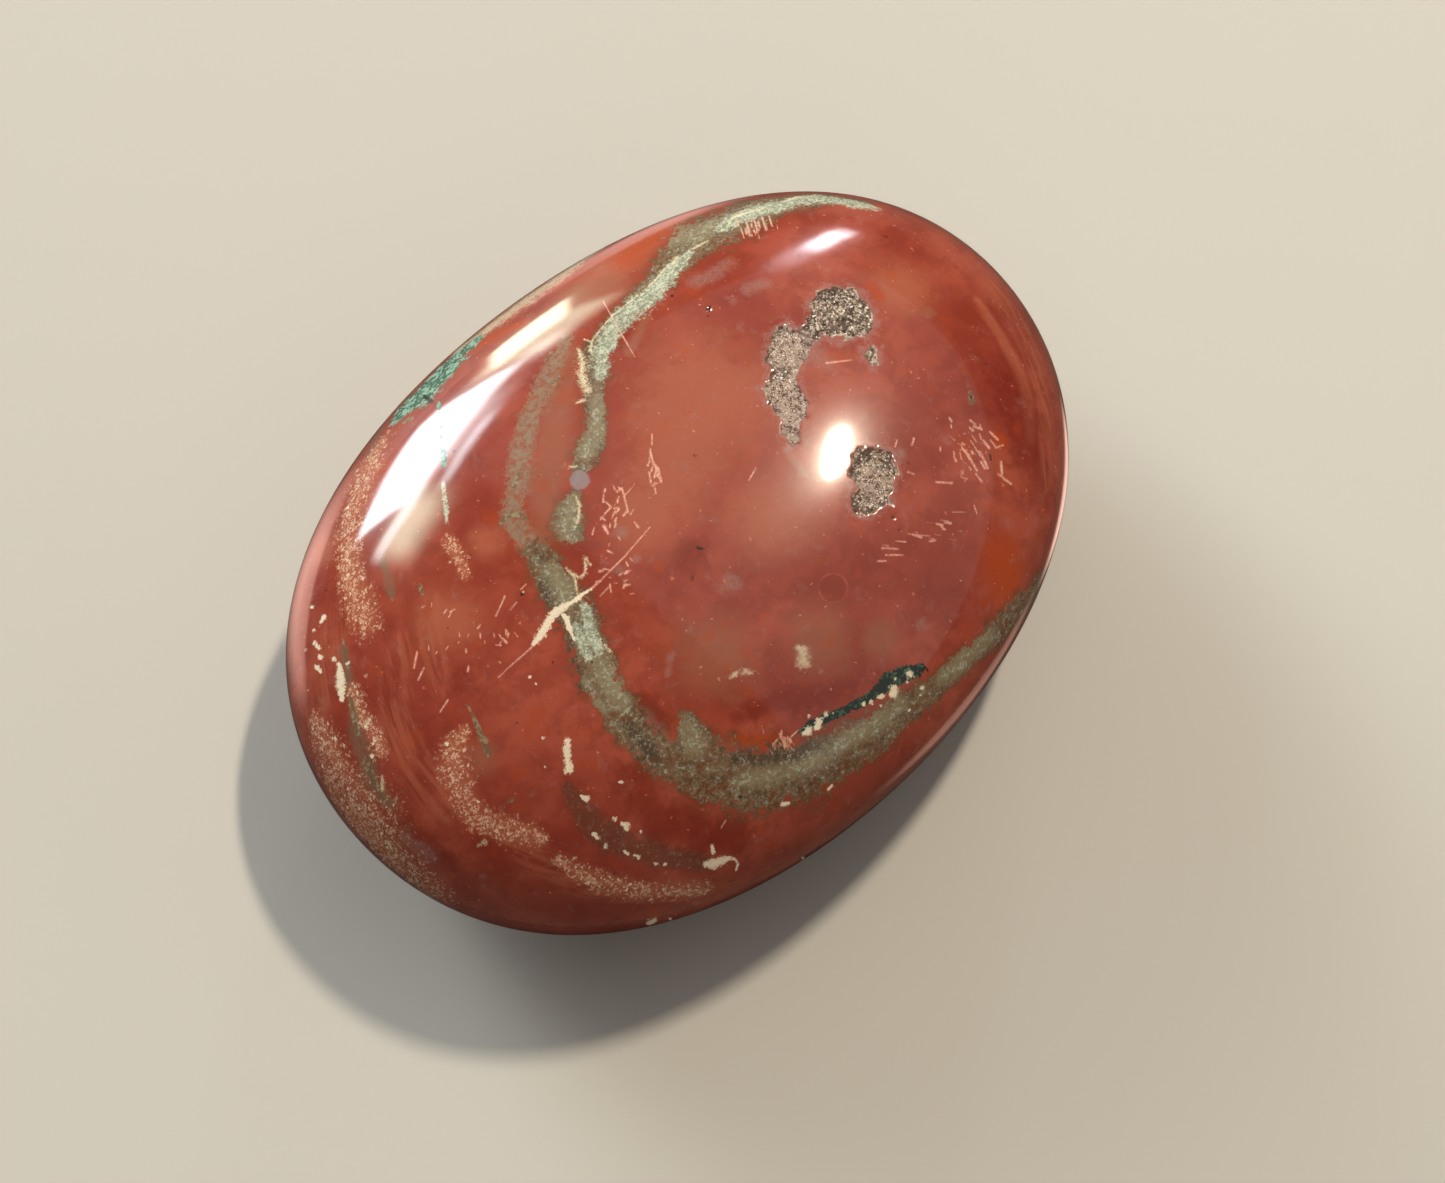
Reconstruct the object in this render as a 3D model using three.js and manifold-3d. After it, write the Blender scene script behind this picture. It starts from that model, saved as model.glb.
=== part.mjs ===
// A polished jasper palm stone: one piece of stone, shaped to a flattened oval, with three shallow
// pits on its upper side that are lined with small quartz crystals. Millimetres, +Z up. The long
// axis lies along X and the stone rests on a small flat worn under its middle.

import Module from 'manifold-3d';
import * as THREE from 'three';
import { mergeVertices } from 'three/addons/utils/BufferGeometryUtils.js';

// Driving dimensions of the stone
const halfLength = 35;
const halfWidth = 25.3;
const girdleHeight = 12; // where the stone is widest
const crownHeight = 13.5; // from the girdle to the top
const bellyDepth = 12.3; // from the girdle down, before the base is worn flat
const fullness = 2.25; // 2 is an ellipsoid, more is boxier
const baseFlatLevel = 0;

// How the outline, seen from above, departs from a plain oval: one end is blunter, and the
// shoulders are a little hollow. Size is a share of the radius, turn is where the bulge lies.
const outlineSwells = [
  { lobes: 3, size: 0.010, turn: 32 },
  { lobes: 4, size: 0.013, turn: 162 },
];

// Facets along one edge of the icosahedron that the polished skin starts from
const skinDetail = 15;

// Crystal-lined pits, each outlined from above
const pitDepth = 0.5;
const pits = {
  crescent: [
    [21.0, 4.0], [21.4, 1.9], [20.2, 0.0], [18.4, -0.4], [17.0, 0.6], [15.6, 1.6], [14.0, 1.3],
    [12.4, 0.6], [11.4, -1.2], [9.8, -2.4], [8.2, -3.2], [7.5, -2.6], [8.5, -0.9], [8.6, 0.6],
    [9.2, 1.9], [11.0, 2.2], [12.3, 3.8], [13.6, 4.8], [15.6, 4.0], [17.4, 4.6], [19.4, 5.0],
  ],
  lowerPatch: [
    [10.4, -6.9], [11.9, -7.1], [12.7, -8.3], [12.2, -10.0], [10.9, -10.6], [10.2, -11.3],
    [8.8, -11.0], [7.6, -10.6], [7.6, -9.4], [8.8, -8.2],
  ],
  smallPocket: [[18.4, -1.5], [18.5, -2.3], [17.7, -2.8], [17.0, -2.4], [17.3, -1.7]],
};

// Small quartz points that stand on a pit's floor
const crystal = {
  spacing: 0.82,
  wander: 0.25, // of each middle from its place on the grid
  radius: 0.5,
  length: 0.75,
  smallest: 0.8, // a share of that size
  largest: 1.25,
  sunk: 0.22, // below the floor, so that each one is fused to it
  tilt: 24, // degrees, at most
  edgeGap: 0.3, // from a pit's rim to a crystal's middle
  seed: 7,
};

// Two pinhole pits away from the crystals
const pinholes = [
  { at: [11.7, 9.7], radius: 0.45 },
  { at: [9.3, -12.3], radius: 0.4 },
];

const jasper = new THREE.MeshStandardMaterial({ color: 0x9c4030, roughness: 0.15, metalness: 0 });

// The place on the stone's skin that lies in a direction from the middle of the girdle
function skinPoint(direction) {
  const flat = Math.hypot(direction.x, direction.y);
  const around = Math.atan2(direction.y, direction.x);
  let swell = 1;
  for (const { lobes, size, turn } of outlineSwells) {
    swell += size * Math.cos(lobes * around - THREE.MathUtils.degToRad(turn));
  }
  const reach = (flat ** fullness + Math.abs(direction.z) ** fullness) ** (-1 / fullness);
  const rise = direction.z > 0 ? crownHeight : bellyDepth;
  return new THREE.Vector3(
    halfLength * swell * reach * direction.x,
    halfWidth * swell * reach * direction.y,
    girdleHeight + rise * reach * direction.z,
  );
}

// The way out of the stone at that place, from two short steps along the skin
function skinNormal(direction) {
  const step = 0.001;
  const side = new THREE.Vector3(0, 0, 1);
  if (Math.abs(direction.z) > 0.9) side.set(1, 0, 0);
  const across = side.clone().cross(direction).normalize();
  const along = direction.clone().cross(across);
  const here = skinPoint(direction);
  const first = skinPoint(direction.clone().addScaledVector(across, step).normalize()).sub(here);
  const second = skinPoint(direction.clone().addScaledVector(along, step).normalize()).sub(here);
  return first.cross(second).normalize();
}

// The skin above a place in plan, found by halving the angle between the girdle and the top
function skinAbove(x, y) {
  const heading = Math.atan2(y / halfWidth, x / halfLength);
  let low = 0;
  let high = Math.PI / 2;
  const direction = new THREE.Vector3();
  for (let turn = 0; turn < 40; turn += 1) {
    const middle = (low + high) / 2;
    direction.set(
      Math.cos(middle) * Math.cos(heading),
      Math.cos(middle) * Math.sin(heading),
      Math.sin(middle),
    );
    const point = skinPoint(direction);
    if (Math.hypot(point.x, point.y) > Math.hypot(x, y)) low = middle;
    else high = middle;
  }
  return { point: skinPoint(direction), normal: skinNormal(direction) };
}

// The whole stone before it is pitted, or the same shape drawn in by an even depth
function stoneShape(inset) {
  const shape = new THREE.IcosahedronGeometry(1, skinDetail);
  const place = shape.attributes.position;
  const direction = new THREE.Vector3();
  for (let i = 0; i < place.count; i += 1) {
    direction.fromBufferAttribute(place, i).normalize();
    const point = skinPoint(direction);
    if (inset) point.addScaledVector(skinNormal(direction), -inset);
    place.setXYZ(i, point.x, point.y, point.z);
  }
  return shape;
}

// A closed three.js shape as a solid that can be joined and cut
const wasm = await Module();
wasm.setup();

function toSolid(geometry) {
  const bare = geometry.clone();
  bare.deleteAttribute('normal');
  bare.deleteAttribute('uv');
  const merged = mergeVertices(bare);
  return new wasm.Manifold(new wasm.Mesh({
    numProp: 3,
    vertProperties: new Float32Array(merged.attributes.position.array),
    triVerts: new Uint32Array(merged.index.array),
  }));
}

function toGeometry(solid) {
  const mesh = solid.getMesh();
  const geometry = new THREE.BufferGeometry();
  geometry.setAttribute('position', new THREE.BufferAttribute(mesh.vertProperties, 3));
  geometry.setIndex(new THREE.BufferAttribute(mesh.triVerts, 1));
  return geometry;
}

// A small generator with a fixed seed, so that the crystals fall the same way each time
function seeded(seed) {
  let state = seed;
  return () => {
    state = (state * 1664525 + 1013904223) % 4294967296;
    return state / 4294967296;
  };
}

// An upright block with a pit's rounded outline, tall enough to pass through the crown
function pitBlock(outline) {
  const rim = new THREE.CatmullRomCurve3(outline.map(([x, y]) => new THREE.Vector3(x, y, 0)), true);
  const corners = rim.getSpacedPoints(outline.length * 2).slice(0, -1);
  const shape = new THREE.Shape(corners.map((corner) => new THREE.Vector2(corner.x, corner.y)));
  const block = new THREE.ExtrudeGeometry(shape, { depth: 2 * crownHeight, bevelEnabled: false });
  block.translate(0, 0, girdleHeight);
  return { block, corners };
}

// Whether a place lies inside a rim and clear of it by a gap
function isInside(x, y, corners, gap) {
  let inside = false;
  let nearest = Infinity;
  for (let i = 0, j = corners.length - 1; i < corners.length; j = i, i += 1) {
    const a = corners[i];
    const b = corners[j];
    const spansRow = (a.y > y) !== (b.y > y);
    if (spansRow && x < ((b.x - a.x) * (y - a.y)) / (b.y - a.y) + a.x) inside = !inside;
    nearest = Math.min(nearest, Math.hypot(a.x - x, a.y - y));
  }
  return inside && nearest > gap;
}

// One six-sided quartz point that stands on the floor under a place, a little tilted and turned
function quartzPoint(x, y, random) {
  const { point, normal } = skinAbove(x, y);
  const size = THREE.MathUtils.lerp(crystal.smallest, crystal.largest, random());
  const length = crystal.length * size;
  const most = THREE.MathUtils.degToRad(crystal.tilt);
  const quartz = new THREE.ConeGeometry(crystal.radius * size, length, 6);
  quartz.rotateY(random() * Math.PI);
  quartz.rotateX(most * (2 * random() - 1));
  quartz.rotateZ(most * (2 * random() - 1));
  quartz.applyQuaternion(new THREE.Quaternion().setFromUnitVectors(new THREE.Vector3(0, 1, 0), normal));
  const middle = point.addScaledVector(normal, length / 2 - pitDepth - crystal.sunk);
  quartz.translate(middle.x, middle.y, middle.z);
  return quartz;
}

// Crystals on a staggered grid over one pit, each moved a little from its place
function quartzIn(corners, random) {
  const box = new THREE.Box2().setFromPoints(corners);
  const rowStep = crystal.spacing * Math.sqrt(0.75);
  const quartz = [];
  let row = 0;
  for (let y = box.min.y; y <= box.max.y; y += rowStep) {
    const stagger = ((row % 2) * crystal.spacing) / 2;
    for (let x = box.min.x + stagger; x <= box.max.x; x += crystal.spacing) {
      const movedX = x + crystal.wander * (random() - 0.5);
      const movedY = y + crystal.wander * (random() - 0.5);
      if (isInside(movedX, movedY, corners, crystal.edgeGap)) {
        quartz.push(quartzPoint(movedX, movedY, random));
      }
    }
    row += 1;
  }
  return quartz;
}

// The polished skin, worn flat where the stone rests
const wholeSkin = toSolid(stoneShape(0));
const innerSkin = toSolid(stoneShape(pitDepth));
const wornAway = new THREE.BoxGeometry(3 * halfLength, 3 * halfWidth, bellyDepth);
wornAway.translate(0, 0, baseFlatLevel - bellyDepth / 2);
const skin = wholeSkin.subtract(toSolid(wornAway));

// The middle of the stone's outline. Pits and pinholes are given from there.
const extent = skin.boundingBox();
const middle = new THREE.Vector2(
  (extent.min[0] + extent.max[0]) / 2,
  (extent.min[1] + extent.max[1]) / 2,
);

// The pits, whose floors follow the skin, with quartz points ground level with the polish
const random = seeded(crystal.seed);
const allQuartz = [];
let stone = skin;
for (const outline of Object.values(pits)) {
  const { block, corners } = pitBlock(outline.map(([x, y]) => [x + middle.x, y + middle.y]));
  stone = stone.subtract(toSolid(block).subtract(innerSkin));
  allQuartz.push(...quartzIn(corners, random));
}
for (const { at, radius } of pinholes) {
  const { point } = skinAbove(at[0] + middle.x, at[1] + middle.y);
  const hole = new THREE.IcosahedronGeometry(radius, 1);
  hole.translate(point.x, point.y, point.z);
  stone = stone.subtract(toSolid(hole));
}
const groundQuartz = wasm.Manifold.union(allQuartz.map(toSolid)).intersect(skin);
stone = stone.add(groundQuartz);

// The finished stone, with its middle over the origin
const stoneGeometry = toGeometry(stone);
stoneGeometry.translate(-middle.x, -middle.y, 0);

const palmStone = new THREE.Mesh(stoneGeometry, jasper);
palmStone.name = 'palm_stone';

const object = new THREE.Group();
object.add(palmStone);

export default object;
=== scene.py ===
# Looks for the polished jasper palm stone: its skin with pits, bands and flecks, the quartz
# crystals in the pits, and a small studio round it. Marks are placed by the photo's pixels and
# cast on the stone, so they lie on its skin from any side.
import math
import random

import bmesh
import bpy
import numpy as np
from mathutils import Matrix, Vector, noise


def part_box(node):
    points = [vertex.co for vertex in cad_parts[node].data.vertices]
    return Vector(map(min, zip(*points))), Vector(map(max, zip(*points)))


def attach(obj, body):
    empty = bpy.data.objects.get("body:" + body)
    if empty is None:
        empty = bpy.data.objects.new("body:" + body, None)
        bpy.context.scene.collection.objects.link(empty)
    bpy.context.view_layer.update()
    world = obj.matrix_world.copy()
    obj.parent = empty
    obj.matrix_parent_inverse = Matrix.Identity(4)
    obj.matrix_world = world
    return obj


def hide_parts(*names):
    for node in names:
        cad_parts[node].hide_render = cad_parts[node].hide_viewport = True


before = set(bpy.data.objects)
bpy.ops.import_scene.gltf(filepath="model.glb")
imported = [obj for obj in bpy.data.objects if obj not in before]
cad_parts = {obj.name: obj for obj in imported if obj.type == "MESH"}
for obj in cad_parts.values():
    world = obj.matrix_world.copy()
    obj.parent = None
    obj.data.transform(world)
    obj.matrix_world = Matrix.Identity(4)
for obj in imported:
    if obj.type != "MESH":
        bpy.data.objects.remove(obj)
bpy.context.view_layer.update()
toMetres = 0.001  # shapes are worked out in millimetres

# The stone's form, as shares of the block that the solid fills
stoneForm = {
    "fullness": 2.25,  # 2 is an ellipsoid
    "girdleShare": 0.4706,  # height of the widest line
    "bellyShare": 0.4824,  # depth under it, before the base was worn flat
    "swells": [(3, 0.010, 32), (4, 0.013, 162)],  # lobes, share of the radius, turn in degrees
    "cells": (126, 92, 46),
}

nodeLow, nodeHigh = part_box("palm_stone")
stoneSize = (np.array(nodeHigh) - np.array(nodeLow)) / toMetres
around = np.linspace(0, 2 * math.pi, 3601)
swell = 1 + sum(size * np.cos(lobes * around - math.radians(turn)) for lobes, size, turn in stoneForm["swells"])
outline = np.stack([np.cos(around) * swell, np.sin(around) * swell])
halfLength, halfWidth = stoneSize[:2] / np.ptp(outline, axis=1)
middle = (outline.max(axis=1) + outline.min(axis=1)) / 2 * (halfLength, halfWidth)
girdleHeight = stoneSize[2] * stoneForm["girdleShare"]
crownHeight = stoneSize[2] - girdleHeight
bellyDepth = stoneSize[2] * stoneForm["bellyShare"]
print(f"stone {stoneSize.round(1)} mm")


# Geometry of the skin

def rayRise(z):
    return np.where(z > 0, crownHeight, bellyDepth)


def swellAt(x, y):
    angle = np.arctan2(y, x)
    return 1 + sum(size * np.cos(lobes * angle - math.radians(turn)) for lobes, size, turn in stoneForm["swells"])


def skinPoints(directions):
    # the places on the skin that lie in these directions from the middle of the girdle
    x, y, z = np.moveaxis(directions, -1, 0)
    power = stoneForm["fullness"]
    reach = (np.hypot(x, y) ** power + np.abs(z) ** power) ** (-1 / power)
    wide = swellAt(x, y) * reach
    height = np.maximum(girdleHeight + rayRise(z) * reach * z, 0)
    return np.stack([halfLength * wide * x - middle[0], halfWidth * wide * y - middle[1], height], axis=-1)


def stretched(points):
    x = (points[..., 0] + middle[0]) / halfLength
    y = (points[..., 1] + middle[1]) / halfWidth
    z = points[..., 2] - girdleHeight
    return np.stack([x, y, z / rayRise(z)], axis=-1)


def skinLevel(points):
    # 0 on the skin, less inside
    x, y, z = np.moveaxis(stretched(points), -1, 0)
    power = stoneForm["fullness"]
    return (np.hypot(x, y) / swellAt(x, y)) ** power + np.abs(z) ** power - 1


def ontoSkin(points):
    return skinPoints(stretched(points))


def skinNormals(points):
    step = 0.002
    slopes = [skinLevel(points + step * axis) - skinLevel(points - step * axis) for axis in np.eye(3)]
    normals = np.stack(slopes, axis=-1)
    normals /= np.linalg.norm(normals, axis=-1, keepdims=True)
    normals[points[..., 2] < 0.001] = (0, 0, -1)
    return normals


def underPoints(plan):
    # places on the lower half of the skin, given from above
    x = (plan[:, 0] + middle[0]) / halfLength
    y = (plan[:, 1] + middle[1]) / halfWidth
    power = stoneForm["fullness"]
    share = np.minimum(np.hypot(x, y) / swellAt(x, y), 1)
    drop = bellyDepth * (1 - share ** power) ** (1 / power)
    return np.stack([plan[:, 0], plan[:, 1], np.maximum(girdleHeight - drop, 0)], axis=-1)


# The photo's camera

photo = {
    "width": 1445,
    "height": 1183,
    "azimuth": -45.3,
    "elevation": 68.0,
    "distance": 230.0,
    "lens": 73.0,
    "sensor": 36.0,
    "aim": (-0.73, -4.34, 12.0),
}

turn, tip = math.radians(photo["azimuth"]), math.radians(photo["elevation"])
backward = np.array([math.sin(turn) * math.cos(tip), -math.cos(turn) * math.cos(tip), math.sin(tip)])
rightward = np.array([math.cos(turn), math.sin(turn), 0.0])
upward = np.cross(backward, rightward)
eye = np.array(photo["aim"]) + photo["distance"] * backward
focalPixels = photo["lens"] * photo["width"] / photo["sensor"]
pixelSize = photo["distance"] / focalPixels  # millimetres on the stone


def makeCamera():
    data = bpy.data.cameras.new("photo camera")
    data.lens = photo["lens"]
    data.sensor_width = photo["sensor"]
    data.clip_start = 0.01
    camera = bpy.data.objects.new("photo camera", data)
    turned = Matrix((rightward, upward, backward)).transposed().to_4x4()
    camera.matrix_world = Matrix.Translation(Vector(eye * toMetres)) @ turned
    bpy.context.scene.collection.objects.link(camera)
    bpy.context.scene.camera = camera


makeCamera()


def photoRays(pixels):
    pixels = np.asarray(pixels, float)
    across = (pixels[:, 0] - photo["width"] / 2) / focalPixels
    down = (pixels[:, 1] - photo["height"] / 2) / focalPixels
    rays = across[:, None] * rightward - down[:, None] * upward - backward
    return rays / np.linalg.norm(rays, axis=1, keepdims=True)


def castPhoto(pixels):
    # where each pixel's sight line meets the stone, or the nearest skin if it passes by
    rays = photoRays(pixels)
    depths = np.linspace(photo["distance"] - 45, photo["distance"] + 45, 361)
    levels = skinLevel(eye + depths[None, :, None] * rays[:, None, :])
    inside = levels < 0
    first = np.where(inside.any(axis=1), inside.argmax(axis=1), levels.argmin(axis=1))
    near, far = depths[np.maximum(first - 1, 0)], depths[first]
    for _ in range(30):
        half = (near + far) / 2
        hit = skinLevel(eye + half[:, None] * rays) < 0
        far = np.where(hit, half, far)
        near = np.where(hit, near, half)
    return ontoSkin(eye + far[:, None] * rays)


def photoPixels(points):
    away = points - eye
    depth = -away @ backward
    across = photo["width"] / 2 + focalPixels * (away @ rightward) / depth
    down = photo["height"] / 2 - focalPixels * (away @ upward) / depth
    return np.stack([across, down], axis=-1)


# Adds nodes to one tree. A value may be a number, a colour or another node's output.
class NodeMaker:
    def __init__(self, tree):
        self.tree = tree

    def put(self, socket, value):
        if isinstance(value, bpy.types.NodeSocket):
            self.tree.links.new(value, socket)
        else:
            socket.default_value = value

    def add(self, kind, inputs=None, **settings):
        node = self.tree.nodes.new(kind)
        for name, value in settings.items():
            setattr(node, name, value)
        for name, value in (inputs or {}).items():
            self.put(node.inputs[name], value)
        return node

    def math(self, operation, *values):
        node = self.add("ShaderNodeMath", operation=operation)
        for socket, value in zip(node.inputs, values):
            self.put(socket, value)
        return node.outputs[0]

    def vector(self, operation, *values):
        node = self.add("ShaderNodeVectorMath", operation=operation)
        for socket, value in zip(node.inputs, values):
            self.put(socket, value)
        return node.outputs["Vector"]

    def scaled(self, vector, factor):
        node = self.add("ShaderNodeVectorMath", {"Vector": vector, "Scale": factor}, operation="SCALE")
        return node.outputs["Vector"]

    def split(self, vector):
        return self.add("ShaderNodeSeparateXYZ", {"Vector": vector}).outputs

    def joined(self, x, y, z):
        return self.add("ShaderNodeCombineXYZ", {"X": x, "Y": y, "Z": z}).outputs["Vector"]

    def ramp(self, value, start, end, low=0.0, high=1.0):
        # runs smoothly from low to high while the value goes from start to end
        node = self.add("ShaderNodeMapRange", interpolation_type="SMOOTHSTEP")
        given = {"Value": value, "From Min": start, "From Max": end, "To Min": low, "To Max": high}
        for label, number in given.items():
            self.put(node.inputs[label], number)
        return node.outputs["Result"]

    def noise(self, place, scale, detail=2.0, roughness=0.5, distortion=0.0):
        return self.add("ShaderNodeTexNoise", {"Vector": place, "Scale": scale, "Detail": detail,
                                               "Roughness": roughness, "Distortion": distortion}).outputs["Fac"]

    def mix(self, share, under, over):
        node = self.add("ShaderNodeMix", data_type="RGBA")
        self.put(node.inputs[0], share)
        self.put(node.inputs[6], under)
        self.put(node.inputs[7], over)
        return node.outputs[2]

    def fade(self, share, under, over):
        node = self.add("ShaderNodeMix", data_type="FLOAT")
        self.put(node.inputs[0], share)
        self.put(node.inputs[2], under)
        self.put(node.inputs[3], over)
        return node.outputs[0]

    def attribute(self, name):
        return self.add("ShaderNodeAttribute", attribute_name=name).outputs["Vector"]


# Studio

studio = {
    "floorSize": 3.0,
    "floorColour": (0.45, 0.44, 0.42, 1),
    "floorInReflections": (0.06, 0.047, 0.040, 1),
    "sky": (1.0, 0.97, 0.94, 1),
    "skyStrength": 0.03,
}

# Bright places on the table that only the polish mirrors: middle, half sizes and turn in
# millimetres and degrees, how bright, and colour
sheens = [
    {"middle": (34, -19), "half": (13, 4.5), "turn": 27, "bright": 1.5, "colour": (1.0, 0.62, 0.50)},
    {"middle": (-44, 66), "half": (48, 30), "turn": 118, "bright": 2.1, "colour": (1.0, 0.60, 0.50)},
    {"middle": (12, -30), "half": (16, 4), "turn": 12, "bright": 0.5, "colour": (1.0, 0.55, 0.42)},
    {"middle": (31, 58), "half": (14, 34), "turn": 0, "bright": 0.8, "colour": (1.0, 0.60, 0.55)},
]

# Each light stands where the photo shows its reflection: the pixels of its middle and of the
# middles of its top and side edges, its distance in metres, how bright its face is, its colour,
# and the shares of its width and height over which it fades out
lights = {
    "window": {"middle": (418, 458), "top": (474, 384), "side": (441, 472), "distance": 1.3, "bright": 22,
               "colour": (0.93, 0.97, 1.0), "fade": (0.22, 0.10)},
    "window strip": {"middle": (466, 450), "top": (501, 401), "side": (472, 454), "distance": 1.35, "bright": 10,
                     "colour": (0.86, 0.95, 1.0), "fade": (0.5, 0.25)},
    "curtain": {"middle": (458, 436), "top": (500, 383), "side": (478, 446), "distance": 1.45, "bright": 7,
                "colour": (0.92, 0.97, 1.0), "fade": (0.5, 0.3)},
    "low strip": {"middle": (396, 529), "top": (424, 490), "side": (402, 533), "distance": 1.3, "bright": 9,
                  "colour": (0.90, 0.92, 1.0), "fade": (0.4, 0.2)},
    "pale wall": {"middle": (412, 524), "top": (448, 474), "side": (436, 544), "distance": 1.35, "bright": 9.5,
                  "colour": (0.92, 1.0, 0.72), "fade": (0.45, 0.35)},
    "upper strip": {"middle": (527, 331), "top": (574, 299), "side": (534, 341), "distance": 1.4, "bright": 13,
                    "colour": (0.94, 1.0, 0.74), "fade": (0.4, 0.15)},
    "second strip": {"middle": (538, 347), "top": (566, 324), "side": (545, 356), "distance": 1.4, "bright": 6,
                     "colour": (1.0, 1.0, 0.90), "fade": (0.5, 0.4)},
    "upper curtain": {"middle": (540, 334), "top": (590, 296), "side": (553, 351), "distance": 1.5, "bright": 6,
                      "colour": (0.86, 1.0, 0.72), "fade": (0.3, 0.3)},
    "far window": {"middle": (828, 240), "top": (852, 229), "side": (834, 249), "distance": 1.5, "bright": 17,
                   "colour": (0.92, 0.93, 1.0), "fade": (0.35, 0.35)},
    "far curtain": {"middle": (804, 252), "top": (842, 236), "side": (812, 264), "distance": 1.6, "bright": 4,
                    "colour": (0.94, 0.92, 1.0), "fade": (0.45, 0.4)},
    "lamp": {"middle": (837, 453), "top": (839, 431), "side": (845, 455), "distance": 0.9, "bright": 640,
             "colour": (1.0, 0.86, 0.66), "round": True},
}

# The ceiling is lit too, and ends where the photo shows a dark line down the stone's right side
ceiling = {"place": (1.35, -2.1, 1.5), "size": (2.4, 7.9), "bright": 0.37, "colour": (1.0, 0.93, 0.86)}

# Soft fill that the polish doesn't mirror, all of it aimed at the stone: place and size in metres
fills = {
    "high fill": {"place": (-0.2, 0.5, 1.5), "size": 2.0, "bright": 0.42, "colour": (1.0, 0.95, 0.88)},
    "low fill": {"place": (-0.7, -0.9, 0.5), "size": 1.0, "bright": 0.75, "colour": (1.0, 0.93, 0.82)},
    "right fill": {"place": (0.9, -0.7, 0.4), "size": 0.9, "bright": 0.75, "colour": (1.0, 0.90, 0.78)},
}


def reflectedWay(pixel):
    # the place on the stone that a pixel shows, and the way of what is mirrored there
    point = castPhoto([pixel])[0]
    normal = skinNormals(point[None])[0]
    ray = photoRays([pixel])[0]
    return point, ray - 2 * ray.dot(normal) * normal


def addPanel(name, size, bright, colour, fade=None, isRound=False):
    # an even panel, whose power follows from its size, or one that fades out at its edges
    data = bpy.data.lights.new(name, "AREA")
    data.shape = "ELLIPSE" if isRound else "RECTANGLE"
    data.size, data.size_y = size
    area = size[0] * size[1] * (math.pi / 4 if isRound else 1)
    data.energy = bright * math.pi * area
    data.color = colour
    if fade:
        data.use_nodes = True
        make = NodeMaker(data.node_tree)
        face = make.split(make.add("ShaderNodeNewGeometry").outputs["Parametric"])
        shown = 1.0
        for share, part in zip(face, fade):
            gap = make.math("SUBTRACT", 0.5, make.math("ABSOLUTE", make.math("SUBTRACT", share, 0.5)))
            shown = make.math("MULTIPLY", shown, make.ramp(gap, 0.0, part))
        make.put(data.node_tree.nodes["Emission"].inputs["Strength"], shown)
    light = bpy.data.objects.new(name, data)
    bpy.context.scene.collection.objects.link(light)
    return light


def makeLight(name, spec):
    point, way = reflectedWay(spec["middle"])
    away = spec["distance"] / toMetres
    middlePlace = point + way * away

    def towards(pixel):
        start, other = reflectedWay(pixel)
        return start + other * ((middlePlace - start).dot(way) / other.dot(way)) - middlePlace

    up = towards(spec["top"])
    height = np.linalg.norm(up)
    up = up / height
    side = np.cross(up, way)
    width = abs(towards(spec["side"]).dot(side))
    size = (2 * width * toMetres, 2 * height * toMetres)
    light = addPanel(name, size, spec["bright"], spec["colour"], spec.get("fade"), spec.get("round"))
    turned = Matrix((side, up, way)).transposed().to_4x4()
    light.matrix_world = Matrix.Translation(Vector(middlePlace * toMetres)) @ turned
    print(f"{name}: {size[0]:.2f} by {size[1]:.2f} m")


for name, spec in lights.items():
    makeLight(name, spec)
overhead = addPanel("ceiling", ceiling["size"], ceiling["bright"], ceiling["colour"])
overhead.location = ceiling["place"]
for name, spec in fills.items():
    fill = addPanel(name, (spec["size"], spec["size"]), spec["bright"], spec["colour"])
    fill.location = spec["place"]
    fill.rotation_euler = Vector(spec["place"]).to_track_quat("Z", "Y").to_euler()
    fill.visible_glossy = False


def makeFloor():
    half = studio["floorSize"] / 2
    mesh = bpy.data.meshes.new("floor")
    corners = [(-half, -half, 0), (half, -half, 0), (half, half, 0), (-half, half, 0)]
    mesh.from_pydata(corners, [], [(0, 1, 2, 3)])
    paint = bpy.data.materials.new("pale floor")
    paint.use_nodes = True
    make = NodeMaker(paint.node_tree)
    shader = paint.node_tree.nodes["Principled BSDF"]
    mirrored = make.add("ShaderNodeLightPath").outputs["Is Glossy Ray"]  # what the polish shows of the table
    make.put(shader.inputs["Base Color"], make.mix(mirrored, studio["floorColour"], studio["floorInReflections"]))
    place = make.scaled(make.add("ShaderNodeTexCoord").outputs["Object"], 1 / toMetres)
    glow = (0.0, 0.0, 0.0)
    for sheen in sheens:
        tilt = math.radians(sheen["turn"])
        apart = make.vector("SUBTRACT", place, sheen["middle"] + (0.0,))
        ways = ((math.cos(tilt), math.sin(tilt), 0), (-math.sin(tilt), math.cos(tilt), 0))
        shares = [make.add("ShaderNodeVectorMath", {0: apart, 1: [part / half for part in way]},
                           operation="DOT_PRODUCT").outputs["Value"] for way, half in zip(ways, sheen["half"])]
        reach = make.math("SQRT", make.math("ADD", make.math("POWER", shares[0], 2), make.math("POWER", shares[1], 2)))
        colour = [part * sheen["bright"] for part in sheen["colour"]] + [1]
        glow = make.vector("ADD", glow, make.mix(make.ramp(reach, 0.45, 1.0, 1.0, 0.0), (0, 0, 0, 1), colour))
    make.put(shader.inputs["Emission Color"], glow)
    make.put(shader.inputs["Emission Strength"], mirrored)
    shader.inputs["Roughness"].default_value = 0.7
    shader.inputs["Specular IOR Level"].default_value = 0.1
    mesh.materials.append(paint)
    floor = bpy.data.objects.new("floor", mesh)
    bpy.context.scene.collection.objects.link(floor)


def makeSky():
    world = bpy.data.worlds.new("soft studio")
    world.use_nodes = True
    background = world.node_tree.nodes["Background"]
    background.inputs["Color"].default_value = studio["sky"]
    background.inputs["Strength"].default_value = studio["skyStrength"]
    bpy.context.scene.world = world
    bpy.context.scene.view_settings.view_transform = "Standard"


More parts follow.
